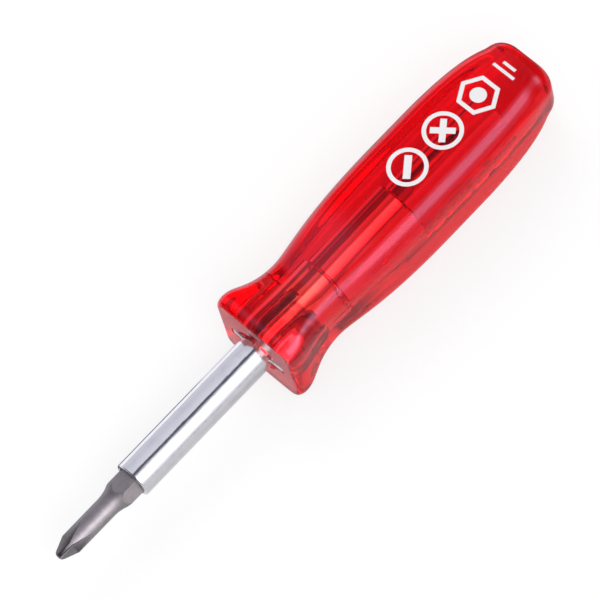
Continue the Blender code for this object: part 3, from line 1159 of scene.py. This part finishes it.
    def make(self, red: bpy.types.Material, ink: bpy.types.Material) -> None:
        """Build the handle and its print.

        Args:
            red: Material of the handle.
            ink: Material of the print.
        """
        body = self.make_body()
        symbols = Print(self)
        marks = symbols.make(body)
        self.cut_bore(body)
        self.mark_mouth(body)
        dress(body, red, self.smooth)
        hand_over(body, "handle_body", "handle")
        dress(marks, ink, symbols.smooth)
        hand_over(marks, "handle_body")


@dataclass
class Print:
    """White symbols of a slot, a cross and a hexagon along the upper face, with plain bars behind them."""

    handle: Handle
    across: float = 11.6 * MM
    line: float = 1.25 * MM
    clear: float = 1.0 * MM
    slot_lines: float = 1.7
    cross_lines: float = 1.5
    hex_lines: float = 1.15
    hex_share: float = 1.08
    dot: float = 2.4 * MM
    slant: float = math.radians(38.0)
    first_at: float = 62.5 * MM
    spacing: float = 14.2 * MM
    bar_at: float = 101.0 * MM
    bar_gap: float = 2.3 * MM
    bar_line: float = 1.0 * MM
    bars: Span = (7.6 * MM, 4.4 * MM)
    above: float = 2.0 * MM
    thickness: float = 0.03 * MM
    proud: float = 0.008 * MM
    rim_sides: int = 72
    dot_sides: int = 48
    cuts: int = 3
    smooth: float = 40.0

    def disc(self, name: str, sides: int, radius: float, hole: float) -> bpy.types.Object:
        """A flat ring, or a full disc.

        Args:
            name: Its name.
            sides: Its number of sides.
            radius: Radius of its corners.
            hole: Radius of its hole, or 0 for a full disc.

        Returns:
            The ring or disc.
        """
        start_piece()
        bpy.ops.mesh.primitive_circle_add(vertices=sides, radius=radius, fill_type="NGON")
        obj = named(name)
        if hole:
            with edit_mode(obj):
                bpy.ops.mesh.inset(thickness=(radius - hole) * math.cos(math.pi / sides))
                bpy.ops.mesh.delete(type="FACE")
        return obj

    def strip(self, name: str, length: float, width: float, turn: float = 0.0) -> bpy.types.Object:
        """A plain flat bar.

        Args:
            name: Its name.
            length: Its length along X.
            width: Its width.
            turn: Its turn about its middle.

        Returns:
            The bar.
        """
        start_piece()
        bpy.ops.mesh.primitive_plane_add(size=1.0)
        obj = named(name)
        obj.scale = (length, width, 1.0)
        settle(obj, Matrix.Rotation(turn, 4, "Z"))
        return obj

    def symbols(self) -> list[tuple[bpy.types.Object, float]]:
        """Make the flat pieces of the print.

        Returns:
            The pieces, each with its distance from the front face.
        """
        radius = self.across / 2
        inside = radius - self.line
        reach = 2 * (inside - self.clear)
        wide = self.cross_lines * self.line
        slot_at, cross_at, hex_at = (self.first_at + self.spacing * i for i in range(3))
        marks = [
            (self.disc("slot_rim", self.rim_sides, radius, inside), slot_at),
            (self.strip("slot_bar", reach, self.slot_lines * self.line, self.slant), slot_at),
            (self.disc("cross_rim", self.rim_sides, radius, inside), cross_at),
            (self.strip("cross_bar", reach, wide, self.slant), cross_at),
        ]
        short = (reach - wide) / 2
        for side in (1, -1):
            arm = self.strip("cross_arm", short, wide)
            away = Matrix.Translation((side * (short + wide) / 2, 0.0, 0.0))
            settle(arm, Matrix.Rotation(self.slant + math.pi / 2, 4, "Z") @ away)
            marks.append((arm, cross_at))
        corner = radius * self.hex_share
        marks.append((self.disc("hex_rim", 6, corner, corner - self.hex_lines * self.line), hex_at))
        marks.append((self.disc("hex_dot", self.dot_sides, self.dot, 0.0), hex_at))
        for i, width in enumerate(self.bars):
            marks.append((self.strip("end_bar", self.bar_line, width), self.bar_at + self.bar_gap * i))
        return marks

    def make(self, body: bpy.types.Object) -> bpy.types.Object:
        """Lay the symbols on the upper face of the handle.

        Args:
            body: The handle before its bore is cut.

        Returns:
            One piece that holds all the symbols.
        """
        over = self.handle.axis_z + self.handle.half + self.above
        pieces = []
        for mark, along in self.symbols():
            settle(mark, Matrix.Translation((self.handle.face_x + along, 0.0, over)))
            pieces.append(mark)
        make_active(pieces[0])
        for piece in pieces:
            piece.select_set(True)
        bpy.ops.object.join()
        marks = named("handle_print")
        with edit_mode(marks):
            bpy.ops.mesh.quads_convert_to_tris()
            bpy.ops.mesh.subdivide(number_cuts=self.cuts)
            bpy.ops.mesh.normals_make_consistent(inside=False)
        apply_modifier(
            marks,
            "SHRINKWRAP",
            target=body,
            wrap_method="PROJECT",
            use_project_z=True,
            use_negative_direction=True,
            use_positive_direction=False,
            wrap_mode="ABOVE_SURFACE",
            offset=self.proud,
        )
        apply_modifier(marks, "SOLIDIFY", thickness=self.thickness, offset=-1.0)
        return marks


@dataclass
class BallGrip:
    """A ball on a spring in its pocket."""

    name: str
    body: str
    ball_body: str
    joint: str
    ball: float
    place: Matrix
    top: float
    floor: float
    wire: float = 0.3 * MM
    turn: float = 0.78 * MM
    play: float = 0.12 * MM
    ball_cuts: int = 9
    wire_sides: int = 12
    turn_steps: int = 32
    ball_smooth: float = 60.0
    wire_smooth: float = 50.0

    def make_ball(self, steel: bpy.types.Material) -> None:
        """Round a divided cube into the ball.

        Args:
            steel: Material of the ball.
        """
        start_piece()
        bpy.ops.mesh.primitive_cube_add(size=self.ball / ROOT_THREE)
        ball = named(f"{self.name}_ball_shell")
        with edit_mode(ball):
            bpy.ops.mesh.subdivide(number_cuts=self.ball_cuts)
        apply_modifier(ball, "CAST", cast_type="SPHERE", factor=1.0, radius=self.ball / 2)
        settle(ball, self.place @ Matrix.Translation((0.0, 0.0, self.top - self.ball / 2)))
        dress(ball, steel, self.ball_smooth)
        hand_over(ball, self.ball_body, f"{self.name}_ball")

    def make_spring(self, wire: bpy.types.Material) -> None:
        """Wind the wire from the pocket's floor to the ball.

        Args:
            wire: Material of the spring.
        """
        low = self.floor + self.play + self.wire / 2
        high = self.top - self.ball - self.play - self.wire / 2
        turns = (high - low) / self.turn
        steps = round(self.turn_steps * turns)
        start_piece()
        bpy.ops.mesh.primitive_circle_add(
            vertices=self.wire_sides,
            radius=self.wire / 2,
            fill_type="NOTHING",
            location=(self.ball / 2 - self.wire, 0.0, low),
            rotation=(math.pi / 2, 0.0, 0.0),
        )
        coil = named(f"{self.name}_spring_coil")
        settle(coil, HERE)
        apply_modifier(
            coil,
            "SCREW",
            angle=2 * math.pi * turns,
            screw_offset=high - low,
            steps=steps,
            render_steps=steps,
            use_merge_vertices=False,
        )
        with edit_mode(coil):
            shape = bmesh.from_edit_mesh(coil.data)
            rim = [point.index for point in shape.verts if point.is_boundary]
            for end in (rim[: self.wire_sides], rim[self.wire_sides :]):
                fill_ring(coil, end)
            face_outwards()
        settle(coil, self.place)
        dress(coil, wire, self.wire_smooth)
        hand_over(coil, self.body, f"{self.name}_spring")
        travel = next(joint["range_m"][1] for joint in frame["joints"] if joint["name"] == self.joint)
        self.place.to_3x3() @ Vector((0.0, 0.0, 1.0))
        self.place @ Vector((0.0, 0.0, self.floor))
        1.0 - travel / (self.top - self.ball - self.floor)
        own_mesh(coil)

    def make(self, steel: bpy.types.Material, wire: bpy.types.Material) -> None:
        """Build the ball and the spring."""
        self.make_ball(steel)
        self.make_spring(wire)


@dataclass(frozen=True)
class BitSize:
    """Sizes of one double-ended bit and of its ball grip."""

    node: str
    sign: int
    across: float
    rod: float
    shank: float
    hex_length: float
    taper: float
    tip: float
    flute: float
    flute_level: float
    flute_root: float
    blade: float
    ball: float
    ball_proud: float = 0.05 * MM
    shown: float = 4.5 * MM
    shoulder: float = 11.4 * MM
    play: float = 0.1 * MM
    seat_play: float = 0.3 * MM

    def length(self) -> float:
        """Length from the cross tip to the blade."""
        return 2 * self.shank + self.hex_length

    def grip_at(self) -> float:
        """Distance of the ball from the cross tip."""
        return self.shank + (self.hex_length + self.shown) / 2

    def corner(self) -> float:
        """Radius of the hexagon's corners with its play in the socket."""
        return self.across / ROOT_THREE + self.play

    def run(self, radius: float) -> float:
        """How far the hollow shoulder runs from the rod to a radius."""
        return math.sqrt(self.shoulder**2 - (self.shoulder - (radius - self.rod / 2)) ** 2)

    def socket_depth(self) -> float:
        """Depth of the broached part of the socket."""
        seat = self.run(self.corner()) - self.run(self.across / 2 - self.play)
        return self.hex_length - self.shown + seat + self.seat_play


class BitEnd(Enum):
    """The two bits, each at its end of the shaft."""

    FRONT = BitSize(
        node="front_bit",
        sign=1,
        across=7.94 * MM,
        rod=6.35 * MM,
        shank=24.3 * MM,
        hex_length=19.0 * MM,
        taper=5.0 * MM,
        tip=3.1 * MM,
        flute=11.0 * MM,
        flute_level=5.0 * MM,
        flute_root=0.64 * MM,
        blade=1.1 * MM,
        ball=2.4 * MM,
    )
    REAR = BitSize(
        node="rear_bit",
        sign=-1,
        across=6.35 * MM,
        rod=4.76 * MM,
        shank=22.5 * MM,
        hex_length=17.0 * MM,
        taper=3.9 * MM,
        tip=2.2 * MM,
        flute=8.5 * MM,
        flute_level=3.8 * MM,
        flute_root=0.48 * MM,
        blade=0.9 * MM,
        ball=2.0 * MM,
    )


@dataclass
class Shaft:
    """The plated tube with its ears, its two sockets and its ball pocket."""

    half: float = field(init=False)
    radius: float = field(init=False)
    ear_span: float = field(init=False)
    place: Matrix = field(init=False)
    edge: float = 0.5 * MM
    end_hole: float = 0.05 * MM
    ear_length: float = 6.0 * MM
    ear_thickness: float = 2.6 * MM
    ear_edge: float = 0.5 * MM
    past_ears: float = 0.3 * MM
    web: float = 10.0 * MM
    mouth_edge: float = 0.35 * MM
    broach_play: float = 0.2 * MM
    pocket_radius: float = 1.4 * MM
    pocket_floor: float = 1.3 * MM
    ball: float = 2.5 * MM
    ball_play: float = 0.1 * MM
    ball_turn: float = math.radians(45.0)
    edge_steps: int = 6
    tube_steps: int = 128
    socket_steps: int = 96
    pocket_steps: int = 48
    smooth: float = 30.0

    def __post_init__(self) -> None:
        """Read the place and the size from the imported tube."""
        low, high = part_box("shaft_tube")
        self.half = (high.x - low.x) / 2
        self.radius = (high.z - low.z) / 2
        self.ear_span = high.y - low.y
        self.place = Matrix.Translation((low + high) / 2)

    def ball_place(self) -> Matrix:
        """Where the ball's pocket stands, along Z."""
        return self.place @ Matrix.Rotation(-self.ball_turn, 4, "X")

    def cut_socket(self, tube: bpy.types.Object, bit: BitSize) -> None:
        """Drill and broach the socket for one bit, with a broken edge at its mouth.

        Args:
            tube: The tube.
            bit: The bit's sizes.
        """
        out = -self.half - CUT_OVER
        flat = bit.across / 2
        corner = (bit.across + self.broach_play) / ROOT_THREE
        sunk = -self.half + corner - flat
        mouth = [(out, POINT), (out, corner + self.mouth_edge + CUT_OVER), (sunk, flat), (sunk, POINT)]
        tools = (
            bar("drill", self.socket_steps, flat, out, -self.web / 2),
            bar("broach", 6, corner, out, -self.half + bit.socket_depth()),
            turned("countersink", mouth, self.socket_steps),
        )
        for tool in tools:
            settle(tool, self.place if bit.sign > 0 else self.place @ HALF_TURN)
            shape_with(tube, tool, Cut.TAKE)

    def make(self, chrome: bpy.types.Material) -> None:
        """Build the tube.

        Args:
            chrome: Its material.
        """
        rounding = []
        for i in range(self.edge_steps + 1):
            turn = math.pi / 2 * i / self.edge_steps
            sunk, off = self.edge * (1 - math.sin(turn)), self.edge * (1 - math.cos(turn))
            rounding.append((sunk, self.radius - off))
        outline = [(self.half, self.end_hole)]
        outline += [(self.half - along, radius) for along, radius in reversed(rounding)]
        # Rings beside the ears keep the faces that the cuts leave short, so that the barrel shades evenly.
        beside = self.ear_length / 2 + self.past_ears
        outline += [(beside, self.radius), (-beside, self.radius)]
        outline += [(-self.half + along, radius) for along, radius in rounding]
        outline.append((-self.half, self.end_hole))
        tube = turned("shaft_shell", outline, self.tube_steps)
        settle(tube, self.place)
        size = (self.ear_length, self.ear_span, self.ear_thickness)
        shape_with(tube, block("ears", size, self.place, self.ear_edge), Cut.JOIN)
        for end in BitEnd:
            self.cut_socket(tube, end.value)
        middle = (0.0, 0.0, self.pocket_floor + self.radius / 2)
        pocket = rod("pocket", self.pocket_steps, self.pocket_radius, self.radius, middle)
        settle(pocket, self.ball_place())
        shape_with(tube, pocket, Cut.TAKE)
        weld(tube)
        dress(tube, chrome, self.smooth)
        hand_over(tube, "shaft_body", "shaft_tube")

    def grip(self, mouth_radius: float) -> BallGrip:
        """The ball grip that holds the shaft in the handle.

        Args:
            mouth_radius: Radius of the handle's mouth.

        Returns:
            The grip.
        """
        return BallGrip(
            name="shaft",
            body="shaft_body",
            ball_body="shaft_ball_body",
            joint="shaft_ball_press",
            ball=self.ball,
            place=self.ball_place(),
            top=mouth_radius - self.ball_play,
            floor=self.pocket_floor,
        )


@dataclass
class Bit:
    """A double-ended steel bit: hexagon body, cross tip at one end and blade at the other."""

    size: BitSize
    place: Matrix = field(init=False)
    root_round: float = 0.3 * MM
    blade_length: float = 10.0 * MM
    cross_turn: float = math.radians(20.0)
    nose_length: float = 0.8 * MM
    nose_step: float = 0.8 * MM
    nose_bulge: Span = (0.3, 0.55)
    pocket_play: float = 0.15 * MM
    pocket_past_axis: float = 1.25 * MM
    edge: float = 0.12 * MM
    edge_angle: float = math.radians(28.0)
    edge_segments: int = 2
    milled_below: float = 0.04 * MM
    flare_steps: int = 12
    turn_steps: int = 96
    pocket_steps: int = 40
    smooth: float = 32.0

    def __post_init__(self) -> None:
        """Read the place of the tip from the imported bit."""
        low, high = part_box(self.size.node)
        tip = low.x if self.size.sign > 0 else high.x
        self.place = Matrix.Translation((tip, 0.0, (low.z + high.z) / 2))
        if self.size.sign < 0:
            self.place = self.place @ HALF_TURN

    def outline(self) -> list[Span]:
        """Work out the turning outline.

        Returns:
            (along, radius) points from the cross tip to the blade.
        """
        size = self.size
        half = size.rod / 2
        run = size.run(size.corner())
        sweep = math.asin(run / size.shoulder)
        flare = []
        for i in range(self.flare_steps + 1):
            turn = sweep * i / self.flare_steps
            flare.append((size.shoulder * math.sin(turn), half + size.shoulder * (1 - math.cos(turn))))
        nose = size.tip / 2 - self.nose_step
        along, rise = self.nose_bulge
        line = [(0.0, POINT), (0.0, nose), (self.nose_length * along, nose + self.nose_step * rise)]
        line += [(self.nose_length, size.tip / 2), (size.taper, half)]
        line += [(size.shank - run + along, radius) for along, radius in flare]
        line += [(size.length() - size.shank + run - along, radius) for along, radius in reversed(flare)]
        return line + [(size.length(), half), (size.length(), POINT)]

    def mill_cross(self, shape: bpy.types.Object) -> None:
        """Mill the four flutes of the cross tip, with a rounded root.

        Args:
            shape: The bit, with its tip at the origin.
        """
        size = self.size
        side = 2 * size.rod
        sides = (2 * size.flute, side, side)
        tilt = math.atan2(size.rod / 2 - size.flute_root, size.flute - size.flute_level)
        on_edge = Matrix.Translation((0.0, 0.0, side / math.sqrt(2))) @ Matrix.Rotation(math.pi / 4, 4, "X")
        for i in range(4):
            turn = Matrix.Rotation(self.cross_turn + math.pi / 4 + math.pi / 2 * i, 4, "X")
            root = turn @ Matrix.Translation((0.0, 0.0, size.flute_root))
            bend = root @ Matrix.Translation((size.flute_level, 0.0, 0.0)) @ Matrix.Rotation(-tilt, 4, "Y")
            flute = block("flute", sides, root @ on_edge, self.root_round)
            shape_with(flute, block("rise", sides, bend @ on_edge, self.root_round), Cut.KEEP)
            shape_with(shape, flute, Cut.TAKE)

    def grind_blade(self, shape: bpy.types.Object) -> None:
        """Grind the two flats of the blade.

        Args:
            shape: The bit, with its tip at the origin.
        """
        size = self.size
        side = 2 * size.rod
        tilt = math.atan2((size.rod - size.blade) / 2, self.blade_length)
        for i in range(2):
            place = (
                Matrix.Rotation(math.pi * i, 4, "X")
                @ Matrix.Translation((size.length(), 0.0, size.blade / 2))
                @ Matrix.Rotation(tilt, 4, "Y")
                @ Matrix.Translation((-self.blade_length / 2, 0.0, side / 2))
            )
            shape_with(shape, block("grind", (2 * self.blade_length, side, side), place), Cut.TAKE)

    def mark_flute_shade(self, shape: bpy.types.Object) -> None:
        """Mark the points in the flutes of the cross tip, which get painted shade and less roughness.

        Args:
            shape: The bit, with its tip at the origin.
        """
        size = self.size
        marks = shape.data.attributes.new("flute_shade", "FLOAT", "POINT")
        for vertex, mark in zip(shape.data.vertices, marks.data):
            below = size.rod / 2 - math.hypot(vertex.co.y, vertex.co.z)
            mark.value = 1.0 if vertex.co.x < size.flute and below > self.milled_below else 0.0

    def make(self, steel: bpy.types.Material) -> None:
        """Build the bit.

        Args:
            steel: Its material.
        """
        size = self.size
        shape = turned(f"{size.node}_shell", self.outline(), self.turn_steps)
        hexagon = bar("hexagon", 6, size.across / ROOT_THREE, -CUT_OVER, size.length() + CUT_OVER)
        settle(hexagon, HERE)
        shape_with(shape, hexagon, Cut.KEEP)
        self.mill_cross(shape)
        self.grind_blade(shape)
        middle = (size.grip_at(), 0.0, size.rod - self.pocket_past_axis)
        pocket = rod("pocket", self.pocket_steps, size.ball / 2 + self.pocket_play, 2 * size.rod, middle)
        settle(pocket, HERE)
        shape_with(shape, pocket, Cut.TAKE)
        apply_modifier(
            shape,
            "BEVEL",
            width=self.edge,
            segments=self.edge_segments,
            limit_method="ANGLE",
            angle_limit=self.edge_angle,
        )
        weld(shape)
        self.mark_flute_shade(shape)
        settle(shape, self.place)
        dress(shape, steel, self.smooth)
        hand_over(shape, f"{size.node}_body", size.node)

    def grip(self) -> BallGrip:
        """The ball grip that holds the bit in its socket.

        Returns:
            The grip.
        """
        size = self.size
        return BallGrip(
            name=size.node,
            body=f"{size.node}_body",
            ball_body=size.node.replace("_bit", "_ball_body"),
            joint=size.node.replace("_bit", "_ball_press"),
            ball=size.ball,
            place=self.place @ Matrix.Translation((size.grip_at(), 0.0, 0.0)),
            top=size.across / 2 + size.ball_proud,
            floor=-self.pocket_past_axis,
        )


@dataclass(frozen=True)
class Lamp:
    """A round soft lamp that points at the tool: its place, diameter and power."""

    name: str
    at: Triple
    size: float
    power: float

    def make(self) -> None:
        """Hang the lamp, out of sight of mirrors and clear plastic."""
        data = bpy.data.lights.new(self.name, "AREA")
        data.shape = "DISK"
        data.size = self.size
        data.energy = self.power
        lamp = bpy.data.objects.new(self.name, data)
        at = Vector(self.at)
        lamp.matrix_world = Matrix.Translation(at) @ (-at).to_track_quat("-Z", "Y").to_matrix().to_4x4()
        lamp.visible_glossy = False
        lamp.visible_transmission = False
        bpy.context.scene.collection.objects.link(lamp)


@dataclass
class Studio:
    """White floor, soft light and the camera at the photograph's angle."""

    lean: float = math.radians(12.5)
    roll_to_side: float = math.radians(22.0)
    axis_angle: float = math.radians(46.0)
    frame_width: float = 162.6 * MM
    distance: float = 1.6
    look_behind_face: float = 18.27 * MM
    look_aside: float = 1.27 * MM
    sensor: float = 36.0
    sight: float = 20.0
    light_bounces: int = 24
    lamps: tuple[Lamp, ...] = (
        Lamp("key_lamp", (-0.25, -0.75, 1.0), 0.9, 7.0),
        Lamp("fill_lamp", (0.35, 0.8, 0.9), 0.9, 4.0),
    )
    floor_size: float = 6.0
    floor_level: float = -0.2 * MM
    # Colours of the painted reflections that the hood and the card give.
    hood: Colour = (0.16, 0.155, 0.18)
    hood_radius: float = 0.25
    hood_start: float = 0.03
    hood_end: float = 0.33
    hood_fade: float = 0.03
    hood_past_top: float = math.radians(8.0)
    hood_above_floor: float = math.radians(5.0)
    hood_sides: int = 96
    card: Colour = (0.015, 0.015, 0.02)
    card_at: float = 0.19
    card_radius: float = 0.15
    card_core: float = 0.07
    card_sides: int = 64
    ambient: Colour = (0.55, 0.55, 0.56)
    dark_end: Colour = (0.10, 0.10, 0.12)
    dark_end_at: Span = (-0.50, 0.0)
    dim_end: Colour = (0.25, 0.25, 0.28)
    dim_end_at: Span = (0.50, 0.80)
    mirrored: tuple[tuple[float, Colour], ...] = (
        (-90.0, (0.66, 0.65, 0.73)),
        (-52.0, (0.60, 0.59, 0.67)),
        (-30.0, (0.66, 0.65, 0.73)),
        (-4.0, (0.72, 0.71, 0.78)),
        (0.0, (0.13, 0.13, 0.16)),
        (9.0, (0.09, 0.09, 0.12)),
        (14.0, (0.34, 0.34, 0.38)),
        (19.0, (0.80, 0.80, 0.84)),
        (26.0, (1.1, 1.1, 1.12)),
        (36.0, (4.3, 4.3, 4.4)),
        (58.0, (4.3, 4.3, 4.4)),
        (72.0, (1.1, 1.1, 1.12)),
        (83.0, (0.76, 0.75, 0.82)),
        (92.0, (0.60, 0.59, 0.67)),
    )
    inner: tuple[tuple[float, Colour], ...] = (
        (-90.0, (0.32, 0.31, 0.36)),
        (-46.0, (0.32, 0.31, 0.36)),
        (-38.0, (0.95, 0.95, 0.96)),
        (-30.0, (0.95, 0.95, 0.96)),
        (-22.0, (0.95, 0.93, 0.98)),
        (-5.0, (0.85, 0.84, 0.88)),
        (2.0, (0.60, 0.60, 0.66)),
        (24.0, (0.95, 0.95, 0.96)),
        (34.0, (5.4, 5.4, 5.1)),
        (54.0, (5.4, 5.4, 5.1)),
        (66.0, (0.85, 0.85, 0.87)),
        (76.0, (0.58, 0.58, 0.62)),
        (96.0, (0.58, 0.58, 0.62)),
    )

    def view(self) -> Matrix:
        """Work out where the camera stands.

        Returns:
            The camera's place and turn.
        """
        level = math.cos(self.lean)
        aside, above = -math.sin(self.roll_to_side) * level, math.cos(self.roll_to_side) * level
        back = Vector((-math.sin(self.lean), aside, above))
        along = (Vector((1.0, 0.0, 0.0)) - back * back.x).normalized()
        beside = back.cross(along)
        right = along * math.cos(self.axis_angle) - beside * math.sin(self.axis_angle)
        up = along * math.sin(self.axis_angle) + beside * math.cos(self.axis_angle)
        handle = Handle()
        target = Vector((handle.face_x + self.look_behind_face, 0.0, handle.axis_z))
        target += beside * self.look_aside
        turn = Matrix((right, up, back)).transposed().to_4x4()
        return Matrix.Translation(target + back * self.distance) @ turn

    def place_camera(self) -> None:
        """Make the camera."""
        data = bpy.data.cameras.new("camera")
        data.sensor_width = self.sensor
        data.lens = self.sensor * self.distance / self.frame_width
        data.clip_end = self.sight
        camera = bpy.data.objects.new("camera", data)
        camera.matrix_world = self.view()
        bpy.context.scene.collection.objects.link(camera)
        bpy.context.scene.camera = camera

    def light_world(self) -> None:
        """Light the world softly, with the bands of light and shade that plate and plastic show."""
        world = bpy.data.worlds.new("studio")
        world.use_nodes = True
        bpy.context.scene.world = world
        graph = Graph(world.node_tree)
        x, y, z = graph.parts(graph.node("ShaderNodeTexCoord")["Generated"])
        turn = graph.node("ShaderNodeMath", {"operation": "ARCTAN2"}, {0: -y, 1: z})["Value"]
        share = turn / (2 * math.pi) + 0.5
        bands = []
        for band in (self.mirrored, self.inner):
            stops = [(angle / 360.0 + 0.5, light) for angle, light in band]
            bands.append(graph.node("ShaderNodeValToRGB", {"stops": stops}, {"Fac": share})["Color"])
        mirrored = graph.blend(x.step(*self.dark_end_at), self.dark_end, bands[0])
        inner = graph.blend(x.step(*self.dim_end_at), bands[1], self.dim_end)
        colour = graph.blend(graph.ray("Glossy"), self.ambient, mirrored)
        colour = graph.blend(graph.ray("Transmission"), colour, inner)
        colour = graph.blend(graph.ray("Camera"), colour, WHITE)
        light = graph.node("ShaderNodeBackground", None, {"Color": colour, "Strength": 1.0})["Background"]
        graph.node("ShaderNodeOutputWorld", None, {"Surface": light})

    def set_stage(self, piece: bpy.types.Object, material: bpy.types.Material) -> None:
        """Give a piece of the stage its material."""
        piece.data.materials.append(material)

    def glow(self, name: str, light: Colour, off_axis: Span) -> bpy.types.Material:
        """A light for polished faces to mirror, which fades where the hood starts."""
        fade = (self.hood_start, self.hood_start + self.hood_fade)
        return MirrorGlow(name, light, fade, off_axis).make()

    def lay_floor(self) -> None:
        """Lay a white floor that keeps the tool's shadow."""
        start_piece()
        bpy.ops.mesh.primitive_plane_add(size=self.floor_size, location=(0.0, 0.0, self.floor_level))
        floor = named("floor")
        settle(floor, HERE)
        self.set_stage(floor, WhiteFloor().make())

    def hang_hood(self) -> None:
        """Hang a dim hood over the handle, seen only in mirrored rays, as a painted dim reflection on its
        polished faces; it is cut off past its top and above the floor.
        """
        length = self.hood_end - self.hood_start
        middle = (self.hood_start + length / 2, 0.0, 0.0)
        hood = rod("hood", self.hood_sides, self.hood_radius, length, middle, LEVEL, "NOTHING")
        settle(hood, HERE)
        side = -self.hood_radius * math.sin(self.hood_past_top)
        foot = self.hood_radius * math.sin(self.hood_above_floor)
        with edit_mode(hood):
            for at, away in (((0.0, side, 0.0), (0.0, 1.0, 0.0)), ((0.0, 0.0, foot), (0.0, 0.0, 1.0))):
                bpy.ops.mesh.select_all(action="SELECT")
                bpy.ops.mesh.bisect(plane_co=at, plane_no=away, clear_inner=True)
        self.set_stage(hood, self.glow("hood_dim", self.hood, (self.hood_end, 2 * self.hood_end)))

    def stand_card(self) -> None:
        """Stand a dark card behind the butt, seen only in mirrored rays, as a painted dark reflection on the
        butt.
        """
        start_piece()
        bpy.ops.mesh.primitive_circle_add(
            vertices=self.card_sides,
            radius=self.card_radius,
            fill_type="NGON",
            location=(self.card_at, 0.0, 0.0),
            rotation=LEVEL,
        )
        card = named("card")
        settle(card, HERE)
        self.set_stage(card, self.glow("card_dim", self.card, (self.card_core, self.card_radius)))

    def make(self) -> None:
        """Set up camera, floor and light."""
        self.place_camera()
        self.lay_floor()
        self.hang_hood()
        self.stand_card()
        self.light_world()
        for lamp in self.lamps:
            lamp.make()
        bpy.context.scene.view_settings.view_transform = "Standard"
        light_paths = bpy.context.scene.cycles
        light_paths.max_bounces = self.light_bounces
        light_paths.glossy_bounces = self.light_bounces
        light_paths.transmission_bounces = self.light_bounces


def main() -> None:
    """Build the studio and every piece of the screwdriver."""
    logging.basicConfig(level=logging.INFO, format="%(name)s: %(message)s")
    Studio().make()
    handle, shaft = Handle(), Shaft()
    bits = [Bit(end.value) for end in BitEnd]
    handle.make(ClearRed().make(), PrintInk().make())
    shaft.make(PlatedSteel().make())
    steel = BlastedSteel().make()
    for bit in bits:
        bit.make(steel)
    balls = GripSteel(
        name="ball_steel",
        clean=(0.78, 0.78, 0.79),
        oily=(0.62, 0.61, 0.60),
        rough=0.08,
        film=Grain(1500.0, 4.0, shows=(0.4, 0.7)),
    ).make()
    wire = GripSteel(
        name="spring_wire",
        clean=(0.55, 0.55, 0.57),
        oily=(0.38, 0.37, 0.37),
        rough=0.28,
        film=Grain(2400.0, 4.0, shows=(0.4, 0.7)),
    ).make()
    for grip in [bit.grip() for bit in bits] + [shaft.grip(handle.mouth_radius)]:
        grip.make(balls, wire)


if __name__ == "__main__":
    main()
